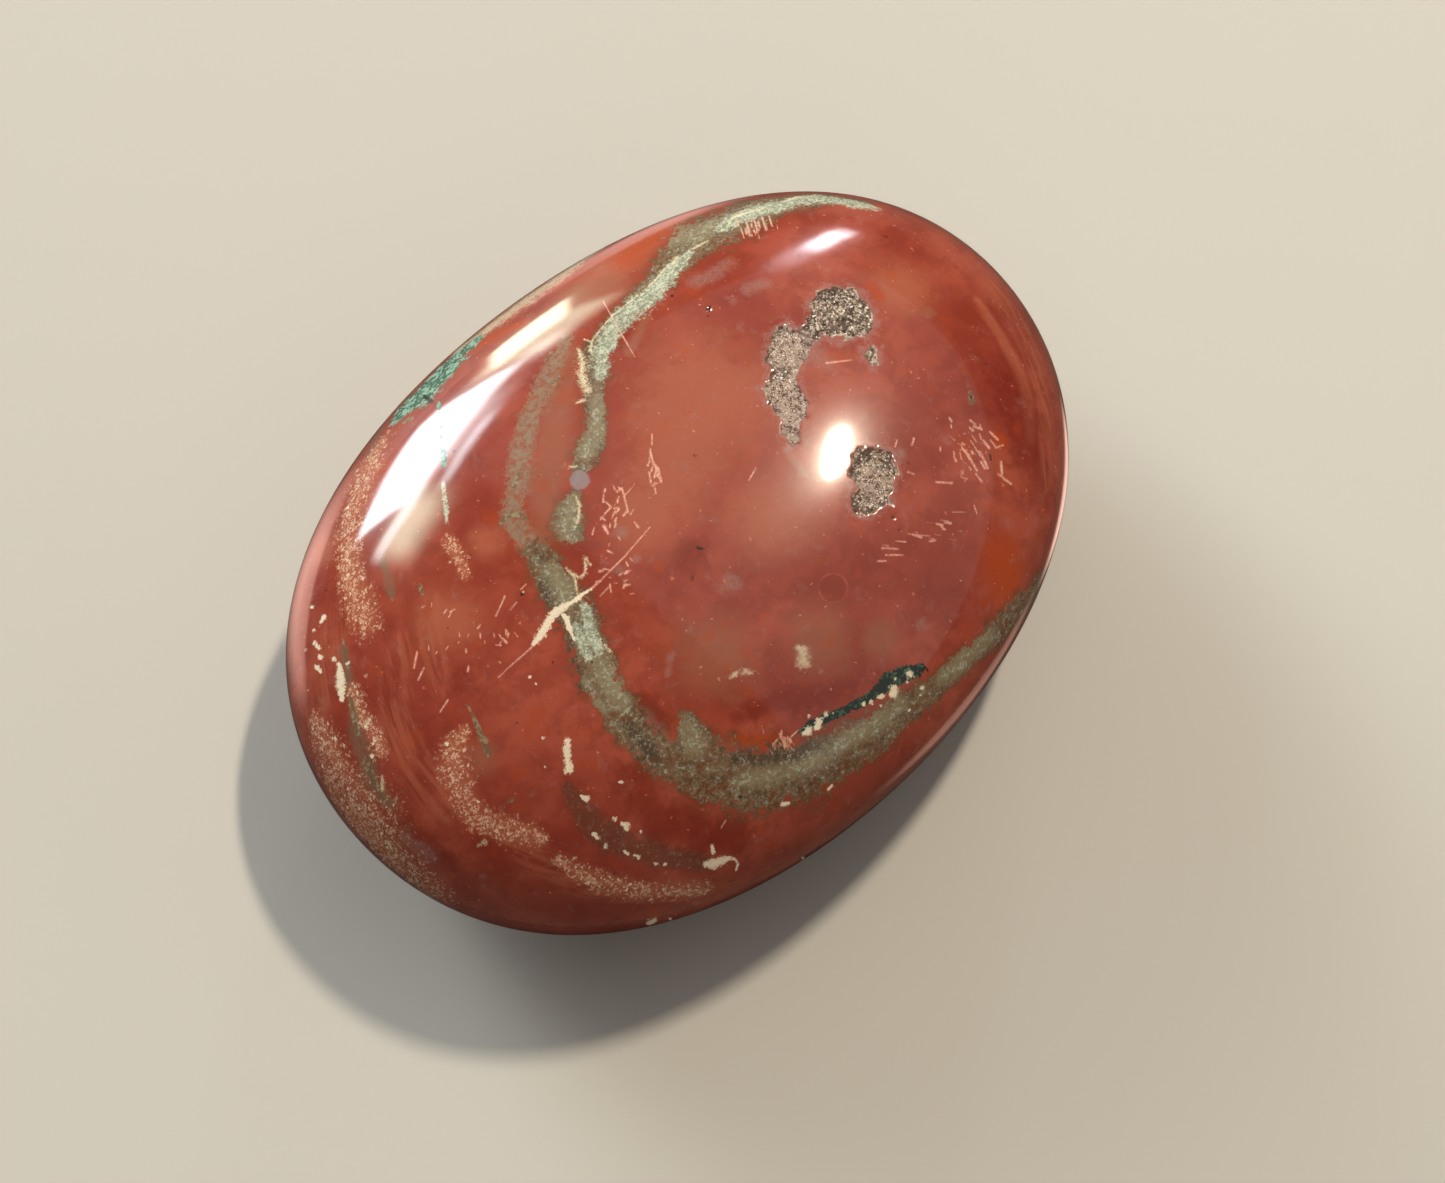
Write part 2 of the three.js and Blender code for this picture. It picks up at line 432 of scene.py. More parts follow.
makeFloor()
makeSky()
print("camera, lights and floor are in place")


def groupTree(name, kind, sockets):
    tree = bpy.data.node_groups.new(name, kind)
    for label, way, socketType in sockets:
        tree.interface.new_socket(label, in_out=way, socket_type=socketType)
    return tree


def meshFromNodes(name, tree, values, start=None):
    # a plain mesh object from a geometry tree, with the modifier's inputs set by identifier
    worker = bpy.data.objects.new(name + " maker", start or bpy.data.meshes.new(name + " start"))
    bpy.context.scene.collection.objects.link(worker)
    modifier = worker.modifiers.new("nodes", "NODES")
    modifier.node_group = tree
    for item in tree.interface.items_tree:
        if item.in_out == "INPUT" and item.name in values:
            modifier[item.identifier] = values[item.name]
    evaluated = worker.evaluated_get(bpy.context.evaluated_depsgraph_get())
    mesh = bpy.data.meshes.new_from_object(evaluated)
    mesh.name = name
    bpy.data.objects.remove(worker)
    made = bpy.data.objects.new(name, mesh)
    bpy.context.scene.collection.objects.link(made)
    return made


def stoneTree(material):
    # a finely divided block whose points are drawn out to the stone's skin
    lengths = ("Half length", "Half width", "Girdle height", "Crown height", "Belly depth")
    numbers = lengths + ("Fullness", "Middle X", "Middle Y")
    swellNames = [f"Swell {i + 1} {word}" for i in range(len(stoneForm["swells"])) for word in ("lobes", "size", "turn")]
    sockets = [("Cells " + axis, "INPUT", "NodeSocketInt") for axis in "XYZ"]
    sockets += [(label, "INPUT", "NodeSocketFloat") for label in numbers + tuple(swellNames)]
    sockets += [("Geometry", "OUTPUT", "NodeSocketGeometry")]
    tree = groupTree("stone form", "GeometryNodeTree", sockets)
    make = NodeMaker(tree)
    given = make.add("NodeGroupInput").outputs
    block = make.add("GeometryNodeMeshCube", {"Size": (2, 2, 2)})
    for axis in "XYZ":
        make.put(block.inputs["Vertices " + axis], given["Cells " + axis])
    place = make.add("GeometryNodeInputPosition").outputs["Position"]
    spread = make.vector("TANGENT", make.scaled(place, math.pi / 4))  # evens out the cells
    x, y, z = make.split(make.vector("NORMALIZE", spread))
    angle = make.math("ARCTAN2", y, x)
    wide = 1.0
    for i in range(len(stoneForm["swells"])):
        lobes, size, turned = (given[f"Swell {i + 1} {word}"] for word in ("lobes", "size", "turn"))
        wave = make.math("COSINE", make.math("SUBTRACT", make.math("MULTIPLY", angle, lobes), turned))
        wide = make.math("MULTIPLY_ADD", wave, size, wide)
    flat = make.math("SQRT", make.math("ADD", make.math("POWER", x, 2), make.math("POWER", y, 2)))
    flat = make.math("POWER", flat, given["Fullness"])
    tall = make.math("POWER", make.math("ABSOLUTE", z), given["Fullness"])
    reach = make.math("POWER", make.math("ADD", flat, tall), make.math("DIVIDE", -1.0, given["Fullness"]))
    stretch = make.math("MULTIPLY", wide, reach)
    isUp = make.math("GREATER_THAN", z, 0.0)
    extra = make.math("SUBTRACT", given["Crown height"], given["Belly depth"])
    rise = make.math("MULTIPLY_ADD", isUp, extra, given["Belly depth"])
    alongX = make.math("MULTIPLY", make.math("MULTIPLY", stretch, x), given["Half length"])
    alongY = make.math("MULTIPLY", make.math("MULTIPLY", stretch, y), given["Half width"])
    height = make.math("MULTIPLY_ADD", make.math("MULTIPLY", reach, z), rise, given["Girdle height"])
    newPlace = make.joined(make.math("SUBTRACT", alongX, given["Middle X"]),
                           make.math("SUBTRACT", alongY, given["Middle Y"]),
                           make.math("MAXIMUM", height, 0.0))  # worn flat where it rests
    moved = make.add("GeometryNodeSetPosition", {"Geometry": block.outputs["Mesh"], "Position": newPlace})
    smooth = make.add("GeometryNodeSetShadeSmooth", {"Geometry": moved.outputs["Geometry"]})
    whole = make.add("GeometryNodeRealizeInstances", {"Geometry": smooth.outputs["Geometry"]})
    finished = make.add("GeometryNodeSetMaterial", {"Geometry": whole.outputs["Geometry"], "Material": material})
    make.add("NodeGroupOutput", {"Geometry": finished.outputs["Geometry"]})
    return tree


def stoneValues():
    values = {"Half length": halfLength, "Half width": halfWidth, "Girdle height": girdleHeight,
              "Crown height": crownHeight, "Belly depth": bellyDepth, "Middle X": middle[0], "Middle Y": middle[1]}
    values = {label: float(value) * toMetres for label, value in values.items()}
    values["Fullness"] = stoneForm["fullness"]
    for axis, count in zip("XYZ", stoneForm["cells"]):
        values["Cells " + axis] = count + 1
    for i, (lobes, size, turned) in enumerate(stoneForm["swells"]):
        values[f"Swell {i + 1} lobes"] = float(lobes)
        values[f"Swell {i + 1} size"] = size
        values[f"Swell {i + 1} turn"] = math.radians(turned)
    return values


# Broad marks. Each is a list of middle lines with points (x, y, half width): in photo pixels
# where the photo shows it, and in millimetres from above for the underside.
broadMarks = {
    "olive": {
        "seen": [
            [(862, 203, 4), (822, 199, 8), (785, 203, 10), (748, 212, 14), (712, 230, 18), (682, 252, 14),
             (655, 284, 11), (628, 308, 10), (606, 330, 10), (597, 350, 14), (594, 372, 13), (593, 395, 10), (596, 415, 11),
             (594, 438, 12), (586, 460, 12), (578, 478, 6)],
            [(577, 494, 8), (571, 510, 14), (568, 526, 16), (574, 536, 9)],
            [(545, 562, 13), (556, 590, 18), (574, 612, 19), (584, 636, 19), (592, 660, 19), (604, 684, 19),
             (618, 706, 17), (634, 722, 17)],
            [(534, 552, 12), (546, 572, 15), (554, 592, 16)],
            [(620, 722, 14), (645, 742, 17), (672, 758, 23), (700, 766, 29), (730, 774, 32), (760, 782, 31),
             (785, 776, 29), (812, 768, 27), (838, 756, 25), (865, 741, 22), (892, 722, 18), (915, 703, 14),
             (943, 682, 10), (968, 660, 9), (990, 640, 9), (1012, 617, 9), (1030, 598, 8), (1045, 576, 7)],
            [(687, 716, 9), (692, 735, 18), (704, 760, 24)],
        ],
        "under": [
            [(17.9, -21.5, 0.8), (19.6, -18.6, 1.2), (21.6, -14.5, 1.6), (24.5, -6, 2.0), (27, 2, 1.8), (28.4, 9, 1.4), (27.6, 12.4, 1.0)],
            [(12, 21.6, 1.0), (4, 20, 1.4), (-5, 19.5, 1.8), (-14, 15.5, 1.6), (-20, 8, 2.0), (-23, -1, 1.5),
             (-21, -9, 0.9)],
            [(-5, 19, 1.0), (-2, 11, 1.4), (2, 4, 0.9), (9, -2, 1.4), (14, -9, 0.8)],
        ],
    },
    "grain": {  # where light granules crowd in the olive
        "seen": [
            [(596, 398, 6), (597, 415, 8), (594, 436, 9), (586, 452, 8)], [(574, 500, 8), (570, 520, 12), (569, 536, 10)],
            [(548, 572, 8), (560, 588, 12), (566, 604, 8)], [(585, 680, 4), (594, 695, 5), (604, 709, 5)],
            [(597, 660, 9), (606, 676, 12), (616, 692, 12), (624, 704, 7)], [(687, 724, 8), (694, 742, 12)],
            [(735, 782, 5), (752, 778, 9), (775, 774, 8), (800, 768, 8), (822, 757, 8), (845, 742, 8), (866, 731, 9),
             (886, 720, 9), (902, 704, 6)],
            [(942, 678, 6), (958, 665, 9), (974, 650, 8), (990, 637, 5)],
            [(652, 228, 8), (672, 236, 10), (695, 236, 8), (712, 226, 6)],
        ],
        "under": [
            [(20, -16, 0.7), (24, -7, 1.1), (26.4, 0, 1.0), (27.8, 7, 0.7)],
            [(2, 19.6, 0.7), (-6, 19, 1.0), (-14, 15.3, 0.9), (-20, 8, 1.0), (-22.6, 1, 0.8)],
            [(-2.6, 12, 0.7), (0, 7, 0.6), (8, -1.4, 0.8)],
        ],
    },
    "pale": {  # blue-green, finely granular
        "seen": [
            [(872, 208, 4), (850, 204, 5), (825, 199, 5), (798, 201, 5), (775, 207, 6), (750, 213, 6), (735, 219, 6),
             (724, 228, 5)],
            [(690, 253, 3), (676, 266, 6), (662, 281, 8), (650, 295, 9), (636, 306, 10), (622, 317, 9), (609, 332, 8),
             (601, 348, 10), (600, 364, 9), (598, 376, 5)],
            [(583, 606, 4), (587, 620, 6), (592, 638, 7), (598, 651, 5)], [(575, 626, 4), (580, 642, 6), (588, 658, 5)],
            [(446, 482, 2.5), (449, 505, 2.5), (451, 525, 1.5)],
        ],
        "under": [[(-8, 18.6, 0.6), (-14, 15.2, 0.8), (-18, 11, 0.6)], [(-2, 11, 0.6), (0.5, 6.5, 0.5)]],
    },
    "teal": {
        "seen": [
            [(398, 418, 5), (409, 405, 9), (424, 391, 11), (440, 375, 10), (456, 358, 8), (474, 341, 5)],
            [(438, 402, 2), (441, 420, 3), (444, 445, 3.5), (447, 464, 4)],
        ],
        "under": [
            [(-13, 20.3, 0.8), (-17, 17.6, 1.0), (-21, 13.5, 0.8)],
            [(-21, 5, 0.5), (-22.6, 0, 0.7), (-21.6, -5, 0.4)],
        ],
    },
    "brown": {  # clear dark brown zones
        "seen": [
            [(568, 786, 6), (578, 802, 10), (592, 820, 14), (612, 837, 15), (640, 849, 14), (675, 858, 11), (706, 862, 7)],
        ],
        "under": [[(22, -13, 1.2), (26, -4, 1.5), (28.6, 4, 1.2)]],
    },
    "vein": {  # nearly black green
        "seen": [
            [(801, 732, 3), (809, 727, 5), (823, 720, 5), (838, 714, 5), (852, 708, 5), (866, 701, 6),
             (878, 692, 7), (892, 681, 9), (906, 674, 8), (918, 671, 7), (927, 669, 4)],
        ],
        "under": [[(24.9, -8, 0.4), (26, -3, 0.6), (27.3, 2, 0.4)], [(-1.6, 10, 0.3), (1, 5.6, 0.5), (3.4, 3, 0.3)]],
    },
    "specks": {  # crowds of tan specks
        "seen": [
            [(383, 440, 4), (368, 470, 7), (357, 505, 8), (351, 540, 8), (352, 572, 9), (360, 600, 11), (368, 625, 10)],
            [(316, 722, 5), (326, 752, 10), (344, 790, 13), (368, 828, 14), (396, 862, 12), (425, 888, 9)],
            [(462, 733, 5), (452, 750, 9), (452, 772, 11), (461, 797, 10), (474, 818, 9), (498, 827, 9), (522, 832, 8),
             (541, 838, 6)],
            [(352, 690, 5), (366, 725, 6), (380, 752, 5)],
            [(452, 540, 5), (462, 556, 6), (466, 574, 5)],
            [(560, 858, 5), (580, 872, 8), (610, 884, 8), (650, 892, 6), (700, 890, 5)],
        ],
        "under": [
            [(-31, -3, 2.6), (-27, -8, 3.2), (-20, -13, 2.6), (-12, -16, 1.6)],
            [(-30, 6, 2.2), (-26, 12, 2.4), (-20, 17, 1.8)],
            [(8, 12, 1.6), (14, 12, 2.4), (20, 9, 1.4)],
            [(-6, -9, 1.4), (0, -12, 2.0), (6, -14, 1.2)],
        ],
    },
    "fibres": {  # orange and tan, drawn out along the rim
        "seen": [
            [(402, 640, 10), (392, 690, 20), (396, 735, 22), (415, 775, 20), (440, 812, 16)],
            [(432, 600, 10), (430, 640, 14), (438, 690, 12)],
            [(490, 812, 8), (512, 838, 16), (540, 862, 18), (575, 880, 18), (620, 893, 16), (680, 892, 12), (730, 884, 8)],
            [(340, 620, 14), (330, 660, 16), (322, 700, 12)],
            [(1000, 290, 10), (1030, 350, 10), (1045, 420, 8), (1047, 480, 6)],
        ],
        "under": [[(-24, 2, 3), (-18, -6, 3.4), (-8, -11, 3), (4, -12, 2.4)], [(-8, 8, 2.6), (-2, 0, 3), (6, -7, 2.4)]],
    },
    "smear": {  # soft olive and beige
        "seen": [
            [(344, 650, 5), (352, 700, 7), (358, 745, 10), (370, 782, 11), (388, 806, 7)],
            [(385, 556, 4), (390, 576, 6), (394, 596, 4)], [(380, 430, 4), (372, 452, 5)],
        ],
        "under": [[(-29, 2, 1.0), (-27, 8, 1.4), (-22, 13, 1.2)], [(-16, -14, 1.4), (-8, -17, 1.8), (0, -18, 1.2)]],
    },
    # beige marks; the strip along the upper left rim is partly beige and partly a painted reflection of a pale wall
    "beigeAndReflection": {
        "seen": [
            [(604, 246, 4), (580, 262, 5), (548, 284, 7), (512, 310, 7), (478, 336, 5), (455, 352, 3)],
            [(726, 677, 2), (742, 671, 3), (757, 672, 2)], [(802, 650, 5), (804, 663, 6)], [(821, 672, 2)],
        ],
        "under": [[(-2, 22.8, 0.6), (-8, 21.6, 0.8), (-14, 18.8, 0.5)]],
    },
    "salmon": {  # lighter, pinker body
        "seen": [
            [(700, 390, 80), (650, 510, 50)], [(770, 520, 50)], [(614, 262, 20), (650, 236, 14), (694, 212, 10)], [(325, 550, 24)],
            [(450, 620, 38)], [(490, 540, 22)], [(902, 286, 42)], [(978, 300, 4), (992, 322, 5), (1006, 344, 6), (1020, 370, 6), (1028, 400, 6),
             (1030, 440, 5)],
        ],
        "under": [[(-12, 0, 7)], [(14, 6, 6)]],
    },
    "deep": {  # darker, browner body
        "seen": [
            [(735, 718, 9), (770, 704, 14), (810, 698, 14), (850, 688, 10)], [(694, 552, 20)],
            [(1010, 400, 30), (1035, 470, 20)],
            [(640, 700, 16), (660, 720, 14)], [(460, 690, 20)], [(640, 775, 22), (655, 822, 24), (740, 840, 22)], [(405, 830, 14), (440, 860, 14)],
        ],
        "under": [[(6, -4, 6)], [(-14, -8, 5)], [(20, -2, 3)]],
    },
    "orange": {
        "seen": [
            [(1000, 560, 26), (1010, 590, 22)], [(625, 256, 12), (655, 236, 10)],
            [(460, 356, 4), (490, 338, 5), (524, 322, 4)], [(1000, 440, 12)],
            [(735, 736, 7), (770, 742, 9), (795, 742, 6)], [(871, 287, 7), (880, 297, 6)],
        ],
        "under": [[(-4, 3, 4)], [(18, -12, 3)], [(-18, 14, 3)]],
    },
    "lilac": {  # milky patches
        "seen": [
            [(697, 282, 9), (712, 276, 9), (728, 264, 8)], [(748, 290, 8), (764, 285, 7)], [(733, 303, 6)],
            [(635, 559, 6)], [(619, 571, 6)], [(730, 584, 14)], [(1009, 524, 9)], [(923, 627, 9)], [(804, 655, 11)],
            [(821, 672, 5)], [(672, 652, 5), (668, 672, 5)], [(405, 838, 8), (430, 856, 10)], [(482, 876, 4)],
            [(645, 712, 7), (658, 728, 9), (670, 742, 7)], [(800, 345, 14), (822, 360, 14)],
            [(868, 486, 18)], [(787, 450, 6), (799, 466, 5), (806, 478, 3)], [(619, 533, 8)], [(546, 410, 5)], [(540, 560, 5)], [(900, 455, 10)],
        ],
        "under": [[(-10, 4, 2)], [(10, -8, 2.4)], [(0, 14, 1.6)], [(16, 3, 2)]],
    },
    "tawny": {  # browner, duller body
        "seen": [
            [(566, 350, 12), (556, 395, 17), (556, 440, 18), (548, 490, 18), (545, 530, 16)],
            [(572, 296, 12), (604, 284, 12)], [(636, 226, 9), (668, 210, 9), (700, 202, 8)], [(480, 760, 16)],
            [(930, 312, 8)], [(880, 640, 20)], [(712, 655, 40)], [(820, 640, 34)], [(646, 318, 6), (628, 350, 6)],
        ],
        "under": [[(-4, 10, 4)], [(4, -16, 3)], [(20, 6, 3)]],
    },
    "faint": {  # a thin smoky band beside the first one
        "seen": [
            [(566, 336, 6), (552, 366, 10), (538, 395, 11), (530, 415, 11), (524, 440, 12), (521, 470, 13),
             (517, 495, 11), (516, 517, 12), (524, 534, 13), (536, 552, 13), (547, 568, 12)],
        ],
        "under": [[(6, 20.4, 0.9), (-2, 17.6, 1.1), (-10, 14, 1.0), (-16, 8, 0.9)]],
    },
    "shade": {  # dark smoky zones in the bands
        "seen": [
            [(547, 574, 6), (541, 590, 8), (548, 604, 8)], [(553, 628, 9), (560, 640, 9), (568, 655, 8), (576, 674, 7),
             (590, 694, 6)], [(735, 755, 9), (765, 757, 10), (800, 752, 9), (830, 745, 7)], [(511, 480, 6)],
            [(574, 532, 9)], [(905, 737, 7), (925, 717, 7)],
            [(962, 688, 7), (992, 658, 6)], [(630, 725, 8), (650, 748, 10)], [(598, 446, 7)], [(408, 419, 5)],
        ],
        "under": [[(22, -15, 1.0), (25.6, -5, 1.2), (27.6, 5, 1.0)], [(-12, 17.4, 0.9), (-19, 11, 1.0)]],
    },
}

# Fine marks in photo pixels, on a part of the mesh that is made finer for them
fineMarks = {
    "cream": [
        [(655, 280, 1.0), (662, 272, 1.2), (668, 266, 1.7)], [(672, 263, 2.6), (677, 257, 2.8)], [(669, 252, 1.0)],
        [(688, 251, 1.2), (698, 246, 1.7), (708, 241, 1.2)], [(783, 202, 0.9), (797, 197, 1.2), (812, 196, 0.9)],
        [(727, 228, 1.0), (732, 218, 1.5), (745, 213, 1.5), (760, 209, 1.2), (772, 205, 1.0)],
        [(655, 281, 1.0), (642, 292, 1.0), (628, 303, 1.0), (612, 316, 1.0), (600, 330, 1.2), (593, 339, 1.3),
         (591, 347, 1.5), (592, 356, 1.2)], [(584, 339, 1.2), (592, 342, 1.0)],
        [(579, 350, 2.5), (582, 362, 5.5), (582, 376, 6.5), (587, 390, 5.5)], [(577, 403, 2.4), (584, 400, 2.0)],
        [(576, 496, 1.2), (580, 507, 2.6), (578, 519, 2.0), (574, 530, 1.0)],
        [(566, 568, 1.4), (572, 574, 2.4), (580, 578, 2.2), (586, 571, 1.4), (585, 558, 2.4)],
        [(585, 558, 2.0), (591, 565, 1.8)], [(575, 578, 1.4), (577, 592, 2.0), (580, 600, 1.6)],
        [(569, 467, 2.0), (577, 466, 1.4)], [(604, 644, 1.6), (610, 651, 2.4)],
        [(306, 650, 1.6)], [(308, 690, 1.6)], [(366, 676, 1.8)], [(360, 716, 2.2)],
        [(366, 727, 3.0), (370, 718, 2.0)], [(373, 744, 1.8)], [(375, 760, 2.0)], [(382, 790, 2.4), (382, 776, 2.0)],
        [(378, 790, 1.6)], [(388, 842, 1.8), (392, 850, 1.6)], [(411, 880, 2.0), (404, 886, 1.6)],
        [(447, 758, 1.8)], [(442, 768, 1.4)], [(485, 842, 3.4), (478, 845, 2.0)],
    ],
    # pale tan marks, and painted glints along the left rim
    "tanAndGlint": [
        [(533, 645, 1.6), (537, 640, 3.4), (541, 635, 4.6), (546, 627, 4.2), (551, 618, 4.4), (557, 611, 5.0),
         (563, 607, 4.2),
         (569, 604, 2.5), (578, 598, 2.3), (585, 593, 1.9), (591, 589, 1.3)],
        [(563, 615, 2.2), (567, 619, 3.2), (569, 627, 3.0), (572, 634, 1.8), (574, 640, 1.0)],
        [(809, 730, 4.6), (803, 734, 2.4)], [(819, 721, 4.0), (817, 727, 4.4)], [(826, 714, 2.4)], [(809, 716, 1.8)],
        [(833, 713, 1.4)], [(864, 704, 2.4)], [(871, 702, 2.6)], [(879, 697, 2.4), (883, 696, 2.4)], [(881, 706, 1.6)],
        [(894, 689, 5.0), (893, 694, 4.4)], [(895, 679, 1.6)], [(910, 674, 4.0)], [(922, 688, 2.6)], [(920, 695, 1.4)],
        [(909, 710, 1.6)], [(907, 682, 1.4)], [(568, 741, 3.2), (567, 748, 4.4), (567, 758, 3.2), (569, 769, 4.6)],
        [(706, 864, 3.6), (712, 864, 5.4), (720, 861, 4.4), (729, 858, 2.4), (735, 859, 1.4)],
        [(735, 859, 1.2), (738, 864, 1.2), (736, 870, 1.0)], [(712, 846, 1.6), (713, 852, 2.4)],
        [(587, 799, 3.2), (581, 796, 1.4)], [(615, 819, 2.4)], [(626, 826, 4.0), (622, 823, 2.0)], [(641, 832, 1.8)],
        [(594, 834, 2.4), (598, 838, 2.2)], [(606, 846, 2.4)], [(624, 851, 1.6), (628, 854, 1.4)],
        [(639, 857, 2.2), (634, 855, 1.4)], [(656, 864, 2.4)], [(665, 864, 2.0)], [(782, 804, 2.2), (789, 803, 1.4)],
        [(828, 789, 1.8), (832, 786, 1.6)], [(622, 782, 2.0), (619, 782, 1.2)], [(543, 738, 2.0)], [(545, 767, 1.4)],
        [(530, 677, 1.8)], [(536, 684, 1.4)], [(649, 923, 3.0), (655, 920, 2.2)], [(670, 919, 1.6)],
        [(803, 858, 1.6)], [(500, 828, 1.4)], [(482, 805, 1.4)], [(523, 592, 1.4)],
        # painted glints: the pale dots along the left rim, from (312, 607) to (342, 700), are highlights of small bumps
        # painted as colour
        [(339, 664, 2.4), (341, 684, 5.0), (342, 700, 2.6)], [(334, 659, 2.6)], [(348, 663, 2.0)], [(312, 607, 2.2)],
        [(324, 617, 2.6), (321, 622, 1.8)], [(314, 630, 2.0)], [(315, 643, 2.4), (319, 648, 2.0)], [(320, 657, 2.8)],
        [(317, 667, 2.6), (321, 672, 1.6)], [(366, 727, 2.4)], [(373, 744, 1.8)], [(372, 756, 2.2)],
    ],
    "chip": [  # small crisp grey olive marks
        [(467, 705, 1.6), (473, 716, 1.8), (479, 730, 3.4), (484, 742, 4.2), (489, 755, 3.2)],
        [(970, 393, 2.4), (972, 402, 3.6)], [(343, 640, 1.6), (346, 655, 2.4), (348, 668, 2.0)], [(351, 700, 2.2), (355, 722, 3.0), (358, 736, 2.6)],
        [(366, 762, 3.4), (373, 780, 4.0), (384, 802, 2.4)],
        [(420, 585, 2.2), (422, 593, 2.0)], [(508, 802, 1.8), (514, 799, 1.4)], [(519, 474, 2.4), (514, 486, 2.8)],
        [(500, 524, 2.0), (506, 516, 2.8), (518, 514, 3.0), (527, 519, 2.4)], [(554, 384, 1.8), (560, 376, 1.4)],
        [(404, 422, 2.6), (412, 418, 2.2)], [(545, 362, 1.6), (551, 352, 1.8)],
    ],
    "scratch": [
        [(498, 678, 0.8), (508, 668, 0.9), (522, 656, 1.0), (532, 647, 1.3)],
        [(591, 589, 1.6), (600, 581, 1.0), (612, 569, 0.9), (625, 556, 0.9), (638, 541, 0.9), (650, 527, 0.8)],
        [(652, 434, 0.9), (652, 445, 1.0)], [(650, 450, 0.8), (653, 462, 1.6), (658, 470, 2.0), (661, 482, 1.4)],
        [(649, 472, 1.0), (651, 482, 1.2)], [(655, 488, 1.0), (656, 494, 0.8)], [(657, 466, 1.0), (654, 478, 1.2)],
        [(622, 488, 1.0), (625, 500, 1.2), (628, 512, 1.4)], [(635, 484, 0.8), (624, 496, 1.0)],
        [(605, 520, 1.4), (600, 517, 0.8)], [(600, 520, 0.8), (611, 507, 1.2), (606, 502, 0.8)],
        [(604, 526, 2.0), (608, 534, 1.4)], [(616, 508, 0.9), (612, 518, 0.9)],
        [(882, 548, 1.2), (898, 549, 1.0)], [(886, 555, 1.2), (904, 555, 0.8)], [(878, 561, 1.2), (886, 561, 1.0)],
        [(896, 541, 0.8), (906, 542, 0.8)], [(908, 534, 0.8), (930, 536, 0.8)],
        [(826, 363, 1.2), (852, 360, 0.8)], [(603, 301, 0.7), (622, 335, 0.9), (635, 357, 0.6)],
        [(980, 452, 1.4), (988, 468, 1.2)], [(1001, 462, 1.6), (1002, 474, 1.4)], [(998, 474, 1.2), (1011, 484, 1.4)],
        [(990, 432, 1.4), (998, 440, 1.2)], [(983, 440, 1.4), (989, 448, 1.4)], [(968, 455, 1.8), (972, 462, 1.4)],
        [(962, 448, 1.2), (968, 455, 1.0)], [(936, 482, 1.2), (952, 483, 1.4)], [(976, 474, 1.2), (982, 482, 1.2)],
        [(1003, 445, 1.0), (996, 448, 1.0)], [(970, 420, 1.2), (975, 424, 1.2)],
        [(974, 505, 0.8), (977, 514, 0.8)], [(952, 512, 0.7), (966, 512, 0.7)],
        [(914, 438, 1.2), (912, 445, 1.2)], [(897, 440, 1.0), (895, 447, 1.0)], [(914, 474, 1.0), (908, 472, 1.2)],
        [(746, 222, 1.0), (750, 236, 1.2)], [(754, 219, 1.0), (757, 230, 1.2)], [(762, 217, 1.2), (766, 230, 1.2)],
        [(769, 216, 1.0), (772, 226, 1.0)], [(741, 228, 0.8), (744, 238, 0.8)], [(758, 222, 1.4), (760, 228, 1.0)],
        [(781, 738, 1.0), (787, 747, 1.0)], [(787, 736, 0.8), (795, 746, 0.8)], [(774, 744, 1.0), (778, 738, 0.8)],
        [(798, 730, 0.9), (788, 740, 0.9)], [(726, 820, 0.8), (721, 828, 0.8)], [(756, 468, 0.8), (749, 480, 0.9)],
        [(505, 596, 1.0), (496, 616, 1.0)], [(517, 602, 0.8), (510, 610, 0.8)], [(600, 596, 1.0), (610, 586, 0.8)],
        [(610, 584, 1.0), (611, 592, 1.0)], [(417, 652, 1.2), (414, 668, 1.2)], [(424, 668, 1.2), (418, 680, 1.0)],
        [(448, 700, 1.0), (440, 712, 1.0)], [(520, 590, 0.8), (526, 584, 0.8)],
    ],
    "dot": [
        [(709, 309, 3.0)], [(698, 548, 2.2), (704, 549, 1.2)], [(893, 517, 1.8)], [(740, 797, 2.4)], [(517, 723, 1.4)],
        [(522, 594, 2.2)], [(672, 296, 2.2)], [(708, 316, 1.4)], [(872, 357, 4.0)], [(971, 397, 2.0)],
        [(553, 662, 1.6)], [(592, 662, 1.6)], [(808, 707, 1.2)], [(431, 401, 3.0), (424, 396, 2.0)], [(448, 628, 1.2)],
        [(990, 455, 1.6), (991, 460, 1.2)], [(539, 476, 1.2)], [(454, 451, 2.0)],
    ],
}

# Crowds of short scratches: middle, spread and length in photo pixels, heading in degrees
# anticlockwise from level, and how far it wanders
scratchCrowds = [
    {"middle": (614, 515), "spread": (15, 24), "count": 22, "heading": 70, "wander": 35, "length": (3, 8)},
    {"middle": (612, 570), "spread": (22, 16), "count": 16, "heading": 20, "wander": 60, "length": (2, 6)},
    {"middle": (756, 228), "spread": (14, 8), "count": 12, "heading": 105, "wander": 14, "length": (4, 9)},
    {"middle": (972, 450), "spread": (24, 26), "count": 34, "heading": 125, "wander": 34, "length": (2, 8)},
    {"middle": (930, 530), "spread": (34, 16), "count": 14, "heading": 176, "wander": 10, "length": (3, 10)},
    {"middle": (780, 742), "spread": (26, 10), "count": 20, "heading": 120, "wander": 30, "length": (3, 9)},
    {"middle": (502, 640), "spread": (14, 14), "count": 12, "heading": 110, "wander": 50, "length": (2, 6)},
    {"middle": (655, 470), "spread": (6, 26), "count": 10, "heading": 80, "wander": 30, "length": (2, 6)},
    {"middle": (452, 640), "spread": (22, 40), "count": 14, "heading": 70, "wander": 30, "length": (2, 6)},
]

# Round orbs in photo pixels: middle, radius
orbs = {
    "grey": [((580, 480), 11)],
    "ringed": [((833, 588), 15)],
}

